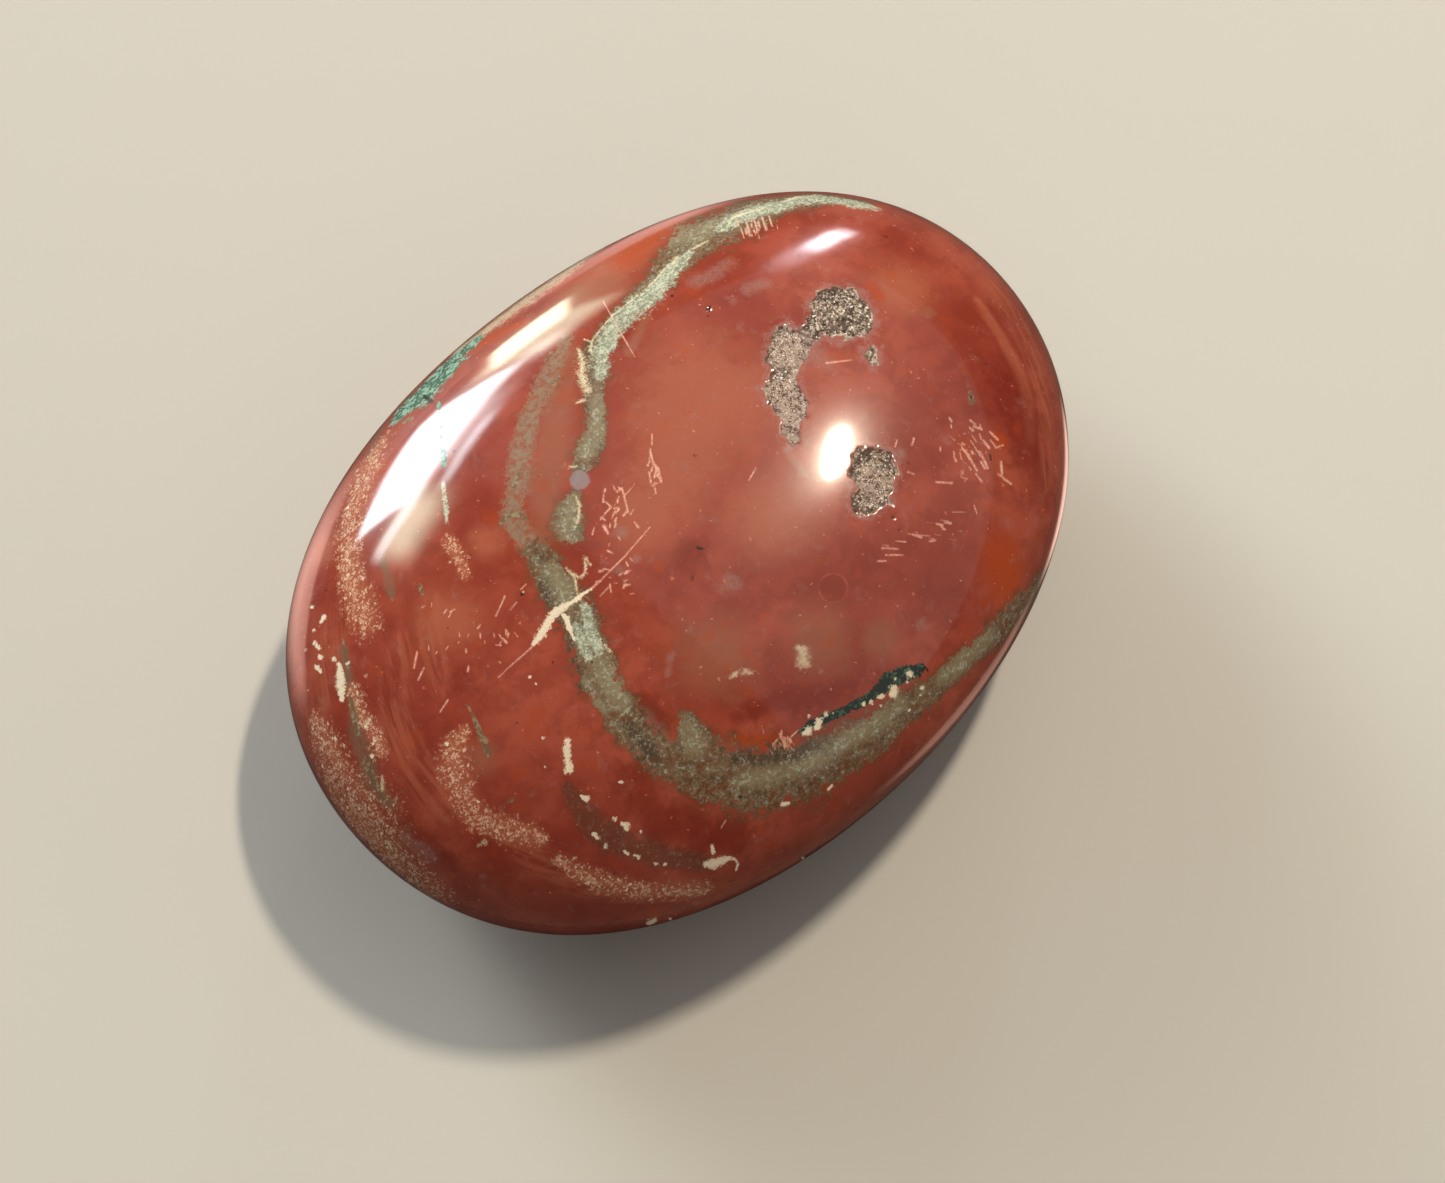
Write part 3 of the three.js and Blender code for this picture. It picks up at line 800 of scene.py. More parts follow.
# Pits, outlined in photo pixels
pits = {
    "upper": [(812, 300), (818, 292), (826, 287), (836, 290), (845, 288), (854, 291), (862, 296), (867, 305), (872, 315),
              (871, 326), (868, 334), (857, 336), (846, 341), (834, 336), (822, 335), (812, 328), (808, 318)],
    "left": [(770, 337), (777, 329), (787, 325), (798, 328), (813, 325), (822, 333), (813, 342), (806, 352), (800, 365),
             (795, 376), (801, 388), (808, 402), (802, 416), (799, 430), (798, 442), (789, 446), (783, 436), (781, 418),
             (774, 408), (767, 402), (762, 390), (769, 382), (773, 371), (768, 360), (769, 348)],
    "lower": [(853, 456), (860, 449), (868, 447), (878, 450), (886, 452), (892, 459), (898, 470), (895, 480), (891, 491),
              (890, 501), (882, 506), (874, 511), (865, 516), (855, 511), (852, 498), (856, 486), (850, 474)],
    "pocket": [(866, 350), (873, 346), (878, 353), (877, 362), (871, 366), (866, 358)],
}

pitShape = {
    "depth": 0.17,  # millimetres
    "wall": 2.5,  # photo pixels from the rim to the floor
    "roughness": 0.05,
    "ragged": 5.0,  # how far the rim wanders, in photo pixels
    "margin": 15.0,  # milky edge round each pit, in photo pixels
    "floorShare": 0.5,  # of the depth, from where crystals grow
}

# Two pinholes away from the crystals: middle and radius in photo pixels
pinholes = [(709, 309, 3.2), (893, 517, 2.6)]
pinholeDepth = 0.10  # millimetres

fineMesh = {
    "cuts": 3,
    "reach": 5.5,  # photo pixels from a fine mark to the middle of a cell
}


def crowdedScratches():
    draw = random.Random(5)
    strokes = []
    for crowd in scratchCrowds:
        for _ in range(crowd["count"]):
            x = crowd["middle"][0] + draw.gauss(0, 0.6) * crowd["spread"][0]
            y = crowd["middle"][1] + draw.gauss(0, 0.6) * crowd["spread"][1]
            heading = math.radians(crowd["heading"] + draw.gauss(0, 0.7) * crowd["wander"])
            half = draw.uniform(*crowd["length"]) / 2
            dx, dy = half * math.cos(heading), -half * math.sin(heading)
            wide = draw.uniform(0.5, 1.5)
            strokes.append([(x - dx, y - dy, wide), (x + dx, y + dy, 0.7 * wide)])
    return strokes


fineMarks["scratch"] += crowdedScratches()


def lineGap(points, start, end):
    # how far points lie from a straight piece, and how far along it their nearest place is
    along = end - start
    share = np.clip(((points - start) @ along) / max(along @ along, 1e-9), 0, 1)
    return np.linalg.norm(points - start - share[:, None] * along, axis=1), share


def ends(route):
    return list(zip(route[:-1], route[1:])) if len(route) > 1 else [(route[0], route[0])]


def pixelField(pixels, routes):
    # the gap to the nearest mark as a share of its half width, and the clear gap in pixels
    field = np.full(len(pixels), 9.0)
    clear = np.full(len(pixels), 99.0)
    for route in routes:
        for (x0, y0, w0), (x1, y1, w1) in ends(route):
            reach = 9 * max(w0, w1) + 12
            near = np.flatnonzero((pixels[:, 0] > min(x0, x1) - reach) & (pixels[:, 0] < max(x0, x1) + reach)
                                  & (pixels[:, 1] > min(y0, y1) - reach) & (pixels[:, 1] < max(y0, y1) + reach))
            gap, share = lineGap(pixels[near], np.array((x0, y0)), np.array((x1, y1)))
            wide = w0 + share * (w1 - w0)
            field[near] = np.minimum(field[near], gap / wide)
            clear[near] = np.minimum(clear[near], gap - wide)
    return field, clear


def placedSeen(route):
    # middles and half widths on the skin, in millimetres, from photo pixels
    pixels = np.array([(x, y) for x, y, _ in route], float)
    wide = np.array([w for _, _, w in route], float)
    middles = castPhoto(pixels)
    if len(route) == 1:
        return middles, wide * pixelSize
    heading = np.gradient(pixels, axis=0)
    heading /= np.linalg.norm(heading, axis=1, keepdims=True)
    side = np.stack([-heading[:, 1], heading[:, 0]], axis=1) * wide[:, None]
    widths = np.linalg.norm(castPhoto(pixels + side) - castPhoto(pixels - side), axis=1) / 2
    return middles, np.clip(widths, 0.8 * wide * pixelSize, 2.2 * wide * pixelSize)


def placedUnder(route):
    plan = np.array([(x, y) for x, y, _ in route], float)
    return underPoints(plan), np.array([w for _, _, w in route], float)


def skinField(points, mark):
    field = np.full(len(points), 9.0)
    for routes, placed in ((mark["seen"], placedSeen), (mark["under"], placedUnder)):
        for route in routes:
            middles, widths = placed(route)
            for i, j in ends(range(len(route))):
                gap, share = lineGap(points, middles[i], middles[j])
                field = np.minimum(field, gap / (widths[i] + share * (widths[j] - widths[i])))
    return field


def insidePolygon(pixels, corners):
    # how far pixels lie inside an outline, less than nothing outside it
    corners = np.array(corners, float)
    inside = np.zeros(len(pixels), bool)
    nearest = np.full(len(pixels), 999.0)
    for a, b in zip(corners, np.roll(corners, -1, axis=0)):
        gap, _ = lineGap(pixels, a, b)
        nearest = np.minimum(nearest, gap)
        spans = (a[1] > pixels[:, 1]) != (b[1] > pixels[:, 1])
        crossing = (b[0] - a[0]) * (pixels[:, 1] - a[1]) / (b[1] - a[1] + 1e-12) + a[0]
        inside ^= spans & (pixels[:, 0] < crossing)
    return np.where(inside, nearest, -nearest)


def smoothShare(value, start, end):
    share = np.clip((value - start) / (end - start), 0, 1)
    return share * share * (3 - 2 * share)


def faced(points):
    toEye = eye - points
    toEye /= np.linalg.norm(toEye, axis=1, keepdims=True)
    return np.sum(skinNormals(points) * toEye, axis=1) > 0.02


def pointsOf(mesh):
    flat = np.empty(len(mesh.vertices) * 3)
    mesh.vertices.foreach_get("co", flat)
    return flat.reshape(-1, 3) / toMetres


def setPoints(mesh, points):
    mesh.vertices.foreach_set("co", (points * toMetres).ravel())
    mesh.update()


def pitInset(pixels):
    return np.max([insidePolygon(pixels, corners) for corners in pits.values()], axis=0)


def needsFineMesh(points):
    pixels = photoPixels(points)
    routes = [route for group in fineMarks.values() for route in group]
    routes += [[(x, y, radius + 1)] for group in orbs.values() for (x, y), radius in group]
    _, clear = pixelField(pixels, routes)
    clear = np.minimum(clear, -pitInset(pixels))
    return (clear < fineMesh["reach"]) & faced(points)


def refineMesh(mesh):
    work = bmesh.new()
    work.from_mesh(mesh)
    middles = np.array([face.calc_center_median() for face in work.faces]) / toMetres
    flags = needsFineMesh(middles)
    chosen = [face for face in work.faces if flags[face.index]]
    edges = list({edge for face in chosen for edge in face.edges})
    bmesh.ops.subdivide_edges(work, edges=edges, cuts=fineMesh["cuts"], use_grid_fill=True)
    manySided = [face for face in work.faces if len(face.verts) > 4]
    bmesh.ops.triangulate(work, faces=manySided)
    work.to_mesh(mesh)
    work.free()
    setPoints(mesh, ontoSkin(pointsOf(mesh)))
    print(f"{len(chosen)} cells made finer")


def pressPits(mesh):
    points = pointsOf(mesh)
    normals = skinNormals(points)
    inset = np.where(faced(points), pitInset(photoPixels(points)), -99)
    rough = np.zeros(len(points))
    for i in np.flatnonzero(inset > -pitShape["margin"]):
        place = Vector(points[i])
        rough[i] = noise.noise(place * 3.0) + 0.5 * noise.noise(place * 9.0)
        inset[i] += pitShape["ragged"] * (noise.noise(place * 1.3) + 0.7 * noise.noise(place * 3.5))
    share = smoothShare(inset, -0.5, pitShape["wall"])
    drop = share * (pitShape["depth"] + pitShape["roughness"] * rough)
    pinhole, _ = pixelField(photoPixels(points), [[place] for place in pinholes])
    drop += pinholeDepth * smoothShare(np.where(faced(points), pinhole, 9.0), 1.1, 0.4)
    setPoints(mesh, points - drop[:, None] * normals)
    return points, share, inset


def storeVectors(mesh, name, *columns):
    layer = mesh.attributes.new(name, "FLOAT_VECTOR", "POINT")
    layer.data.foreach_set("vector", np.stack(columns, axis=1).astype(np.float32).ravel())


def capped(field):
    return np.minimum(field, 4.0)


# The line along which fibres and specks at the left and the lower edge are drawn out
flowLine = [(520, 320, 1), (440, 400, 1), (385, 480, 1), (362, 560, 1), (358, 640, 1), (370, 710, 1), (395, 775, 1),
            (435, 825, 1), (490, 862, 1), (560, 885, 1), (640, 893, 1), (740, 880, 1), (850, 830, 1), (960, 740, 1),
            (1030, 640, 1), (1050, 540, 1), (1048, 420, 1), (1010, 310, 1), (940, 240, 1)]


def flowPlaces(points):
    # millimetres along the flow line, and out from it with a sign
    middles, _ = placedSeen(flowLine)
    best = np.full(len(points), 1e9)
    along = np.zeros(len(points))
    across = np.zeros(len(points))
    normals = skinNormals(points)
    start = 0.0
    for a, b in zip(middles[:-1], middles[1:]):
        gap, share = lineGap(points, a, b)
        length = np.linalg.norm(b - a)
        nearer = gap < best
        side = np.sign(np.sum(np.cross(b - a, points - a) * normals, axis=1))
        best = np.where(nearer, gap, best)
        along = np.where(nearer, start + share * length, along)
        across = np.where(nearer, side * gap, across)
        start += length
    return along, across


def markStone(mesh, points, pitShare, inset):
    pixels = photoPixels(points)
    seen = faced(points)
    fields = {name: skinField(points, mark) for name, mark in broadMarks.items()}
    fine = {name: np.where(seen, pixelField(pixels, routes)[0], 9.0) for name, routes in fineMarks.items()}
    orbField = {name: np.where(seen, pixelField(pixels, [[(x, y, r)] for (x, y), r in group])[0], 9.0)
                for name, group in orbs.items()}
    for names in (("olive", "grain", "pale"), ("teal", "brown", "vein"), ("specks", "fibres", "smear"),
                  ("salmon", "deep", "orange"), ("tawny", "faint", "shade")):
        storeVectors(mesh, names[0], *(capped(fields[name]) for name in names))
    storeVectors(mesh, "cream", *(capped(fine[name]) for name in ("cream", "tanAndGlint", "scratch")))
    storeVectors(mesh, "dot", *map(capped, (fine["dot"], orbField["grey"], orbField["ringed"])))
    storeVectors(mesh, "chip", *map(capped, (fine["chip"], fine["chip"], fine["chip"])))
    margin = smoothShare(inset, -pitShape["margin"], 0)
    storeVectors(mesh, "pit", pitShare, margin, capped(fields["lilac"]))
    along, across = flowPlaces(points)
    storeVectors(mesh, "flow", along, across, capped(fields["beigeAndReflection"]))


def paint(text):
    # a linear colour from the usual six figures
    shares = [int(text[i:i + 2], 16) / 255 for i in (0, 2, 4)]
    linear = [share / 12.92 if share < 0.04045 else ((share + 0.055) / 1.055) ** 2.4 for share in shares]
    return tuple(linear) + (1.0,)


jasperPaint = {
    "body": "7f3427",
    "bodyLight": "934636",
    "bodyDark": "6a241a",
    "salmon": "9a5641",
    "deep": "661f14",
    "orange": "983c16",
    "tawny": "86513d",
    "faint": "7f7362",
    "lilac": "8e706a",
    "fleck": "b86a4c",
    "olive": "66513c",
    "oliveGrey": "6d6756",
    "oliveBrown": "603e28",
    "shade": "4c3e34",
    "granule": "857e66",
    "granuleDark": "3e352a",
    "pale": "86907f",
    "paleLight": "bfc7b4",
    "teal": "2b5c4d",
    "tealLight": "7fa596",
    "brown": "55372a",
    "vein": "14231d",
    "veinLight": "36543f",
    "speckGround": "a2634a",
    "speck": "c69a7e",
    "speckLight": "e2d0b8",
    "fibre": "9c5a42",
    "smear": "655a48",
    "cream": "e2d8a6",
    # tan marks, and painted glints along the left rim
    "tanAndGlint": "d9cdb6",
    "scratch": "deab96",
    "dot": "20140f",
    "orbGrey": "84767a",
    "orbRing": "9a5040",
    "pit": "5c4a42",
    "pitLight": "a5958a",
    "margin": "8c6c68",
    # beige marks, and a painted reflection of a pale wall along the upper left rim
    "beigeAndReflection": "c0b096",
}

jasperFinish = {
    "roughness": 0.21,
    "ior": 1.54,
    "haze": 0.125,  # how much the stone under the polish mirrors
    "coatRoughness": 0.06,
    "waviness": 4e-6,  # metres, of the polish
}


def grainGroup():
    # angular grains: a value and a tone that differ from grain to grain
    sockets = [("Place", "INPUT", "NodeSocketVector"), ("Scale", "INPUT", "NodeSocketFloat"),
               ("Value", "OUTPUT", "NodeSocketFloat"), ("Tone", "OUTPUT", "NodeSocketFloat")]
    tree = groupTree("mineral grain", "ShaderNodeTree", sockets)
    make = NodeMaker(tree)
    given = make.add("NodeGroupInput").outputs
    wander = make.add("ShaderNodeTexNoise", {"Vector": given["Place"], "Scale": given["Scale"], "Detail": 0.0})
    moved = make.vector("ADD", given["Place"],
                        make.scaled(wander.outputs["Color"], make.math("DIVIDE", 1.1, given["Scale"])))
    cell = make.add("ShaderNodeTexVoronoi", {"Vector": moved, "Scale": given["Scale"]}).outputs["Color"]
    first, second, _ = make.split(cell)
    crowd = make.noise(given["Place"], make.math("MULTIPLY", given["Scale"], 0.35), 2.0, 0.6)
    value = make.math("MULTIPLY_ADD", make.math("SUBTRACT", crowd, 0.5), 1.8, first)
    make.add("NodeGroupOutput", {"Value": value, "Tone": second})
    return tree


def flecksGroup():
    # small scattered dots: share is how many of the cells hold one
    sockets = [("Place", "INPUT", "NodeSocketVector"), ("Scale", "INPUT", "NodeSocketFloat"),
               ("Share", "INPUT", "NodeSocketFloat"), ("Radius", "INPUT", "NodeSocketFloat"),
               ("Mask", "OUTPUT", "NodeSocketFloat"), ("Tone", "OUTPUT", "NodeSocketFloat")]
    tree = groupTree("scattered flecks", "ShaderNodeTree", sockets)
    make = NodeMaker(tree)
    given = make.add("NodeGroupInput").outputs
    wander = make.add("ShaderNodeTexNoise", {"Vector": given["Place"], "Scale": 5.0, "Detail": 0.0})
    moved = make.vector("ADD", given["Place"], make.scaled(wander.outputs["Color"], 0.3))
    cell = make.add("ShaderNodeTexVoronoi", {"Vector": moved, "Scale": given["Scale"]}).outputs
    tone = make.split(cell["Color"])
    held = make.math("LESS_THAN", tone[0], given["Share"])
    size = make.math("MULTIPLY", given["Radius"], make.math("ADD", 0.4, tone[1]))
    spot = make.ramp(cell["Distance"], make.math("MULTIPLY", size, 0.7), size, 1.0, 0.0)
    make.add("NodeGroupOutput", {"Mask": make.math("MULTIPLY", held, spot), "Tone": tone[2]})
    return tree


def grouped(make, tree, **inputs):
    node = make.add("ShaderNodeGroup", node_tree=tree)
    for label, value in inputs.items():
        make.put(node.inputs[label], value)
    return node.outputs


grainTree = grainGroup()
flecksTree = flecksGroup()


def jasperMaterial():
    material = bpy.data.materials.new("jasper")
    material.use_nodes = True
    tree = material.node_tree
    make = NodeMaker(tree)
    shader = tree.nodes["Principled BSDF"]
    colours = {name: paint(text) for name, text in jasperPaint.items()}
    place = make.scaled(make.add("ShaderNodeTexCoord").outputs["Object"], 1 / toMetres)
    flow = make.attribute("flow")
    beigeAndReflection = make.split(flow)[2]

    broad = make.noise(place, 0.10, 3.0, 0.5, 0.4)
    cloudy = make.noise(place, 0.45, 4.0, 0.6, 0.3)
    small = make.noise(place, 1.8, 3.0, 0.6, 0.3)
    tiny = make.noise(place, 5.5, 2.0, 0.6)
    dust = make.noise(place, 14.0, 1.0, 0.5)

    def ragged(field, cloudyPart, smallPart, tinyPart):
        # a mark's field with its edge broken up
        for source, part in ((cloudy, cloudyPart), (small, smallPart), (tiny, tinyPart)):
            if part:
                field = make.math("MULTIPLY_ADD", make.math("SUBTRACT", source, 0.5), part, field)
        return field

    def within(field, edge=1.0, soft=0.15):
        return make.ramp(field, edge - soft, edge + soft, 1.0, 0.0)

    def both(*masks):
        whole = masks[0]
        for mask in masks[1:]:
            whole = make.math("MULTIPLY", whole, mask)
        return whole

    def moved(x, y, z):
        return make.vector("ADD", place, (x, y, z))

    fineGrains = grouped(make, grainTree, Place=place, Scale=7.0)
    coarseGrains = grouped(make, grainTree, Place=moved(9, 4, 17), Scale=3.6)
    speckGrains = grouped(make, grainTree, Place=moved(23, 6, 2), Scale=7.5)

    def grains(share, source=fineGrains, softness=0.22):
        edge = make.math("SUBTRACT", 1.0, share)
        return make.ramp(source["Value"], make.math("SUBTRACT", edge, softness), make.math("ADD", edge, softness))

    def flecksAt(where, scale, share, radius):
        return grouped(make, flecksTree, Place=where, Scale=scale, Share=share, Radius=radius)

    olive, grain, pale = make.split(make.attribute("olive"))
    teal, brown, vein = make.split(make.attribute("teal"))
    specks, fibres, smear = make.split(make.attribute("specks"))
    salmon, deep, orange = make.split(make.attribute("salmon"))
    tawny, faint, shade = make.split(make.attribute("tawny"))
    cream, tanAndGlint, scratch = make.split(make.attribute("cream"))
    dot, orbGrey, orbRing = make.split(make.attribute("dot"))
    pitShare, margin, lilac = make.split(make.attribute("pit"))
    chip = make.split(make.attribute("chip"))[0]

    # the red body
    colour = make.mix(make.ramp(broad, 0.35, 0.65), colours["body"], colours["bodyLight"])
    colour = make.mix(make.ramp(cloudy, 0.58, 0.38, 0.0, 0.36), colour, colours["bodyDark"])
    colour = make.mix(make.ramp(ragged(salmon, 1.4, 0.3, 0), 0.2, 1.3, 0.75, 0.0), colour, colours["salmon"])
    colour = make.mix(make.ramp(ragged(tawny, 1.4, 0.5, 0), 0.3, 1.5, 0.70, 0.0), colour, colours["tawny"])
    colour = make.mix(make.ramp(ragged(deep, 1.6, 0.8, 0.3), 0.2, 1.3, 0.6, 0.0), colour, colours["deep"])
    colour = make.mix(make.ramp(ragged(orange, 1.2, 0.3, 0), 0.2, 1.2, 0.8, 0.0), colour, colours["orange"])
    milky = both(make.ramp(ragged(lilac, 1.4, 1.4, 0.8), 0.1, 1.2, 0.5, 0.0), make.ramp(tiny, 0.30, 0.62, 0.4, 1.0))
    colour = make.mix(milky, colour, colours["lilac"])
    haze = both(make.ramp(make.noise(place, 0.8, 4.0, 0.65, 0.3), 0.56, 0.75), 0.22)
    colour = make.mix(haze, colour, colours["lilac"])
    rust = both(make.ramp(make.noise(moved(40, 2, 9), 0.55, 3.0, 0.6), 0.56, 0.72), 0.35)
    colour = make.mix(rust, colour, colours["orange"])
    flecks = flecksAt(place, 1.1, 0.16, 0.13)
    colour = make.mix(both(flecks["Mask"], make.ramp(flecks["Tone"], 0, 1, 0.25, 0.7)), colour, colours["fleck"])
    dustFlecks = flecksAt(moved(11, 3, 8), 2.6, 0.12, 0.18)
    colour = make.mix(both(dustFlecks["Mask"], 0.30), colour, colours["scratch"])
    darkFlecks = flecksAt(moved(31, 7, 3), 0.7, 0.12, 0.11)
    colour = make.mix(both(darkFlecks["Mask"], 0.5), colour, colours["dot"])
    # drawn out fibres, soft smears and crowds of specks
    threads = make.noise(make.vector("MULTIPLY", flow, (0.22, 1.9, 0.0)), 1.0, 4.0, 0.62, 0.3)
    fibreMask = both(make.ramp(ragged(fibres, 0.8, 0.4, 0), 0.4, 1.3, 0.45, 0.0), make.ramp(threads, 0.40, 0.62))
    colour = make.mix(fibreMask, colour, colours["fibre"])
    smearMask = make.ramp(ragged(smear, 1.4, 1.6, 0.8), 0.30, 1.35, 0.66, 0.0)
    colour = make.mix(both(smearMask, make.ramp(small, 0.30, 0.58, 0.35, 1.0)), colour, colours["smear"])
    ground = both(make.ramp(ragged(specks, 1.5, 1.2, 0.6), 0.2, 2.0, 0.70, 0.0), make.ramp(threads, 0.32, 0.58, 0.35, 1.0))
    colour = make.mix(ground, colour, colours["speckGround"])
    crowdEdge = make.ramp(specks, 1.2, 2.2, 1.0, 0.0)
    clumps = make.ramp(make.noise(moved(14, 50, 3), 0.9, 3.0, 0.6), 0.38, 0.62, 0.45, 1.15)
    speckShare = both(make.ramp(ragged(specks, 1.8, 2.0, 0.8), 0.0, 2.0, 0.50, 0.0), clumps)
    speckTone = make.mix(make.ramp(speckGrains["Tone"], 0.40, 0.95), colours["speck"], colours["speckLight"])
    colour = make.mix(both(grains(speckShare, speckGrains, 0.14), crowdEdge, 0.58), colour, speckTone)
    spots = flecksAt(moved(3, 5, 1), 2.2, 0.32, 0.30)
    spotShown = make.ramp(specks, 0.9, 2.4, 1.0, 0.0)
    colour = make.mix(both(spots["Mask"], spotShown, make.ramp(spots["Tone"], 0, 1, 0.2, 0.9)), colour, colours["speckLight"])
    # beige marks, and a painted reflection of a pale wall along the upper left rim
    beigeAndReflectionMask = make.ramp(ragged(beigeAndReflection, 1.1, 2.0, 1.6), 0.0, 1.6, 0.85, 0.0)
    colour = make.mix(beigeAndReflectionMask, colour, colours["beigeAndReflection"])

    # the faint smoky band
    faintMask = make.ramp(ragged(faint, 1.2, 2.2, 1.2), 0.60, 1.20, 0.76, 0.0)
    faintTone = make.mix(make.ramp(small, 0.36, 0.56), colours["tawny"], colours["faint"])
    colour = make.mix(faintMask, colour, faintTone)
    colour = make.mix(both(faintMask, grains(0.25), 0.20), colour, colours["granule"])
    colour = make.mix(both(faintMask, grains(0.25, coarseGrains), 0.30), colour, colours["oliveBrown"])

    # olive bands with a brown rim and granules
    oliveField = ragged(olive, 1.3, 1.9, 0.6)
    colour = make.mix(both(within(oliveField, 1.28, 0.30), 0.40), colour, colours["oliveBrown"])
    oliveMask = within(oliveField, 0.98, 0.10)
    oliveTone = make.mix(make.ramp(cloudy, 0.38, 0.60), colours["oliveBrown"], colours["olive"])
    oliveTone = make.mix(make.ramp(small, 0.42, 0.62, 0.0, 0.8), oliveTone, colours["oliveGrey"])
    colour = make.mix(both(oliveMask, 0.88), colour, oliveTone)
    brownMask = within(ragged(brown, 1.2, 1.1, 0.5), 0.95, 0.4)
    colour = make.mix(both(brownMask, 0.62), colour, colours["brown"])
    shadeMask = both(oliveMask, make.ramp(ragged(shade, 1.0, 1.4, 0.6), 0.4, 1.3, 0.85, 0.0))
    colour = make.mix(shadeMask, colour, colours["shade"])
    stony = make.math("MAXIMUM", oliveMask, both(brownMask, 0.3))
    colour = make.mix(both(stony, grains(0.30, coarseGrains), 0.48), colour, colours["granuleDark"])
    crowded = make.ramp(ragged(grain, 1.3, 1.6, 0.6), 0.2, 1.7, 1.0, 0.0)
    colour = make.mix(both(stony, crowded, 0.52), colour, colours["granule"])
    crowd = make.math("MULTIPLY_ADD", crowded, 0.34, 0.16)
    granuleTone = make.mix(make.ramp(small, 0.44, 0.66), colours["granule"], colours["paleLight"])
    colour = make.mix(both(stony, grains(crowd, fineGrains, 0.3), 0.40), colour, granuleTone)

    # teal, the pale band and the dark vein
    tealMask = within(ragged(teal, 1.2, 1.2, 0.7), 0.95, 0.25)
    tealTone = make.mix(grains(0.48, coarseGrains), colours["teal"], colours["tealLight"])
    colour = make.mix(both(tealMask, 0.9), colour, tealTone)
    paleMask = within(ragged(pale, 1.0, 2.0, 1.4), 0.95, 0.35)
    paleTone = make.mix(grains(0.55, fineGrains, 0.3), colours["pale"], colours["paleLight"])
    paleTone = make.mix(both(grains(0.30, coarseGrains), 0.42), paleTone, colours["oliveGrey"])
    colour = make.mix(both(paleMask, 0.76), colour, paleTone)
    veinMask = within(ragged(vein, 0.7, 1.0, 0.7), 0.92, 0.15)
    veinTone = make.mix(grains(0.22, coarseGrains), colours["vein"], colours["veinLight"])
    colour = make.mix(veinMask, colour, veinTone)

    chipMask = within(ragged(chip, 0.3, 0.9, 1.2), 0.9, 0.4)
    chipTone = make.mix(grains(0.3, coarseGrains), colours["olive"], colours["granule"])
    colour = make.mix(both(chipMask, 0.82), colour, chipTone)

    # orbs
    colour = make.mix(both(within(orbRing, 0.94, 0.10), 0.30), colour, colours["deep"])
    ringEdge = both(make.ramp(orbRing, 0.84, 0.94), make.ramp(orbRing, 0.96, 1.06, 1.0, 0.0))
    colour = make.mix(both(ringEdge, make.ramp(small, 0.35, 0.65, 0.0, 0.7)), colour, colours["orbRing"])
    colour = make.mix(both(within(ragged(orbGrey, 0, 0.6, 0.2), 0.92, 0.14), 0.80), colour, colours["orbGrey"])

    # fine marks
    def frayed(field, smallPart, tinyPart, dustPart):
        return make.math("MULTIPLY_ADD", make.math("SUBTRACT", dust, 0.5), dustPart, ragged(field, 0, smallPart, tinyPart))

    patchy = make.ramp(tiny, 0.34, 0.58, 0.25, 1.0)
    scratchMask = within(frayed(scratch, 1.2, 1.6, 1.2), 0.80, 0.55)
    colour = make.mix(both(scratchMask, patchy, 0.90), colour, colours["scratch"])
    creamMask = within(frayed(cream, 2.0, 4.0, 2.4), 0.55, 0.5)
    creamTone = make.mix(make.ramp(small, 0.38, 0.60), colours["tanAndGlint"], colours["cream"])
    colour = make.mix(both(creamMask, patchy, 0.95), colour, creamTone)
    # tan marks, and painted glints of small bumps along the left rim
    tanAndGlintMask = within(frayed(tanAndGlint, 1.4, 2.0, 1.2), 0.9, 0.30)
    colour = make.mix(both(tanAndGlintMask, make.ramp(dust, 0.3, 0.7, 0.8, 1.0)), colour, colours["tanAndGlint"])
    dotMask = within(frayed(dot, 0.9, 1.2, 0.8), 0.8, 0.4)
    colour = make.mix(both(dotMask, 0.85), colour, colours["dot"])

    # the milky margin of the pits and their floor
    marginMask = both(make.ramp(ragged(margin, 0.9, 1.8, 1.2), 0.40, 1.1), 0.48)
    colour = make.mix(marginMask, colour, colours["margin"])
    floorTone = make.mix(grains(0.5, coarseGrains), colours["pit"], colours["pitLight"])
    colour = make.mix(make.ramp(pitShare, 0.0, 0.25), colour, floorTone)

    # fine dust over all
    dimmed = make.math("MULTIPLY_ADD", make.math("SUBTRACT", dust, 0.5), 0.28, 1.0)
    make.put(shader.inputs["Base Color"], make.scaled(colour, dimmed))

    dull = make.math("MAXIMUM", both(tanAndGlintMask, 0.10), both(oliveMask, 0.05))
    uneven = make.math("MULTIPLY_ADD", make.math("SUBTRACT", small, 0.5), 0.05, dull)
    rough = make.math("ADD", jasperFinish["roughness"], uneven)
    make.put(shader.inputs["Roughness"], make.fade(make.ramp(pitShare, 0.05, 0.5), rough, 0.6))
    shader.inputs["IOR"].default_value = jasperFinish["ior"]
    shader.inputs["Specular IOR Level"].default_value = jasperFinish["haze"]
    worn = make.math("MAXIMUM", both(tanAndGlintMask, 0.3), both(tealMask, make.ramp(small, 0.35, 0.60, 0.3, 0.8)))
    coat = both(make.ramp(pitShare, 0.0, 0.06, 1.0, 0.0), make.math("SUBTRACT", 1.0, worn))
    make.put(shader.inputs["Coat Weight"], coat)
    shader.inputs["Coat Roughness"].default_value = jasperFinish["coatRoughness"]
    shader.inputs["Coat IOR"].default_value = jasperFinish["ior"]
    wavy = make.math("MULTIPLY_ADD", small, 0.25, make.noise(moved(60, 20, 5), 0.5, 1.0))
    bump = make.add("ShaderNodeBump", {"Height": wavy, "Strength": 1.0, "Distance": jasperFinish["waviness"]})
    make.put(shader.inputs["Coat Normal"], bump.outputs["Normal"])
    return material


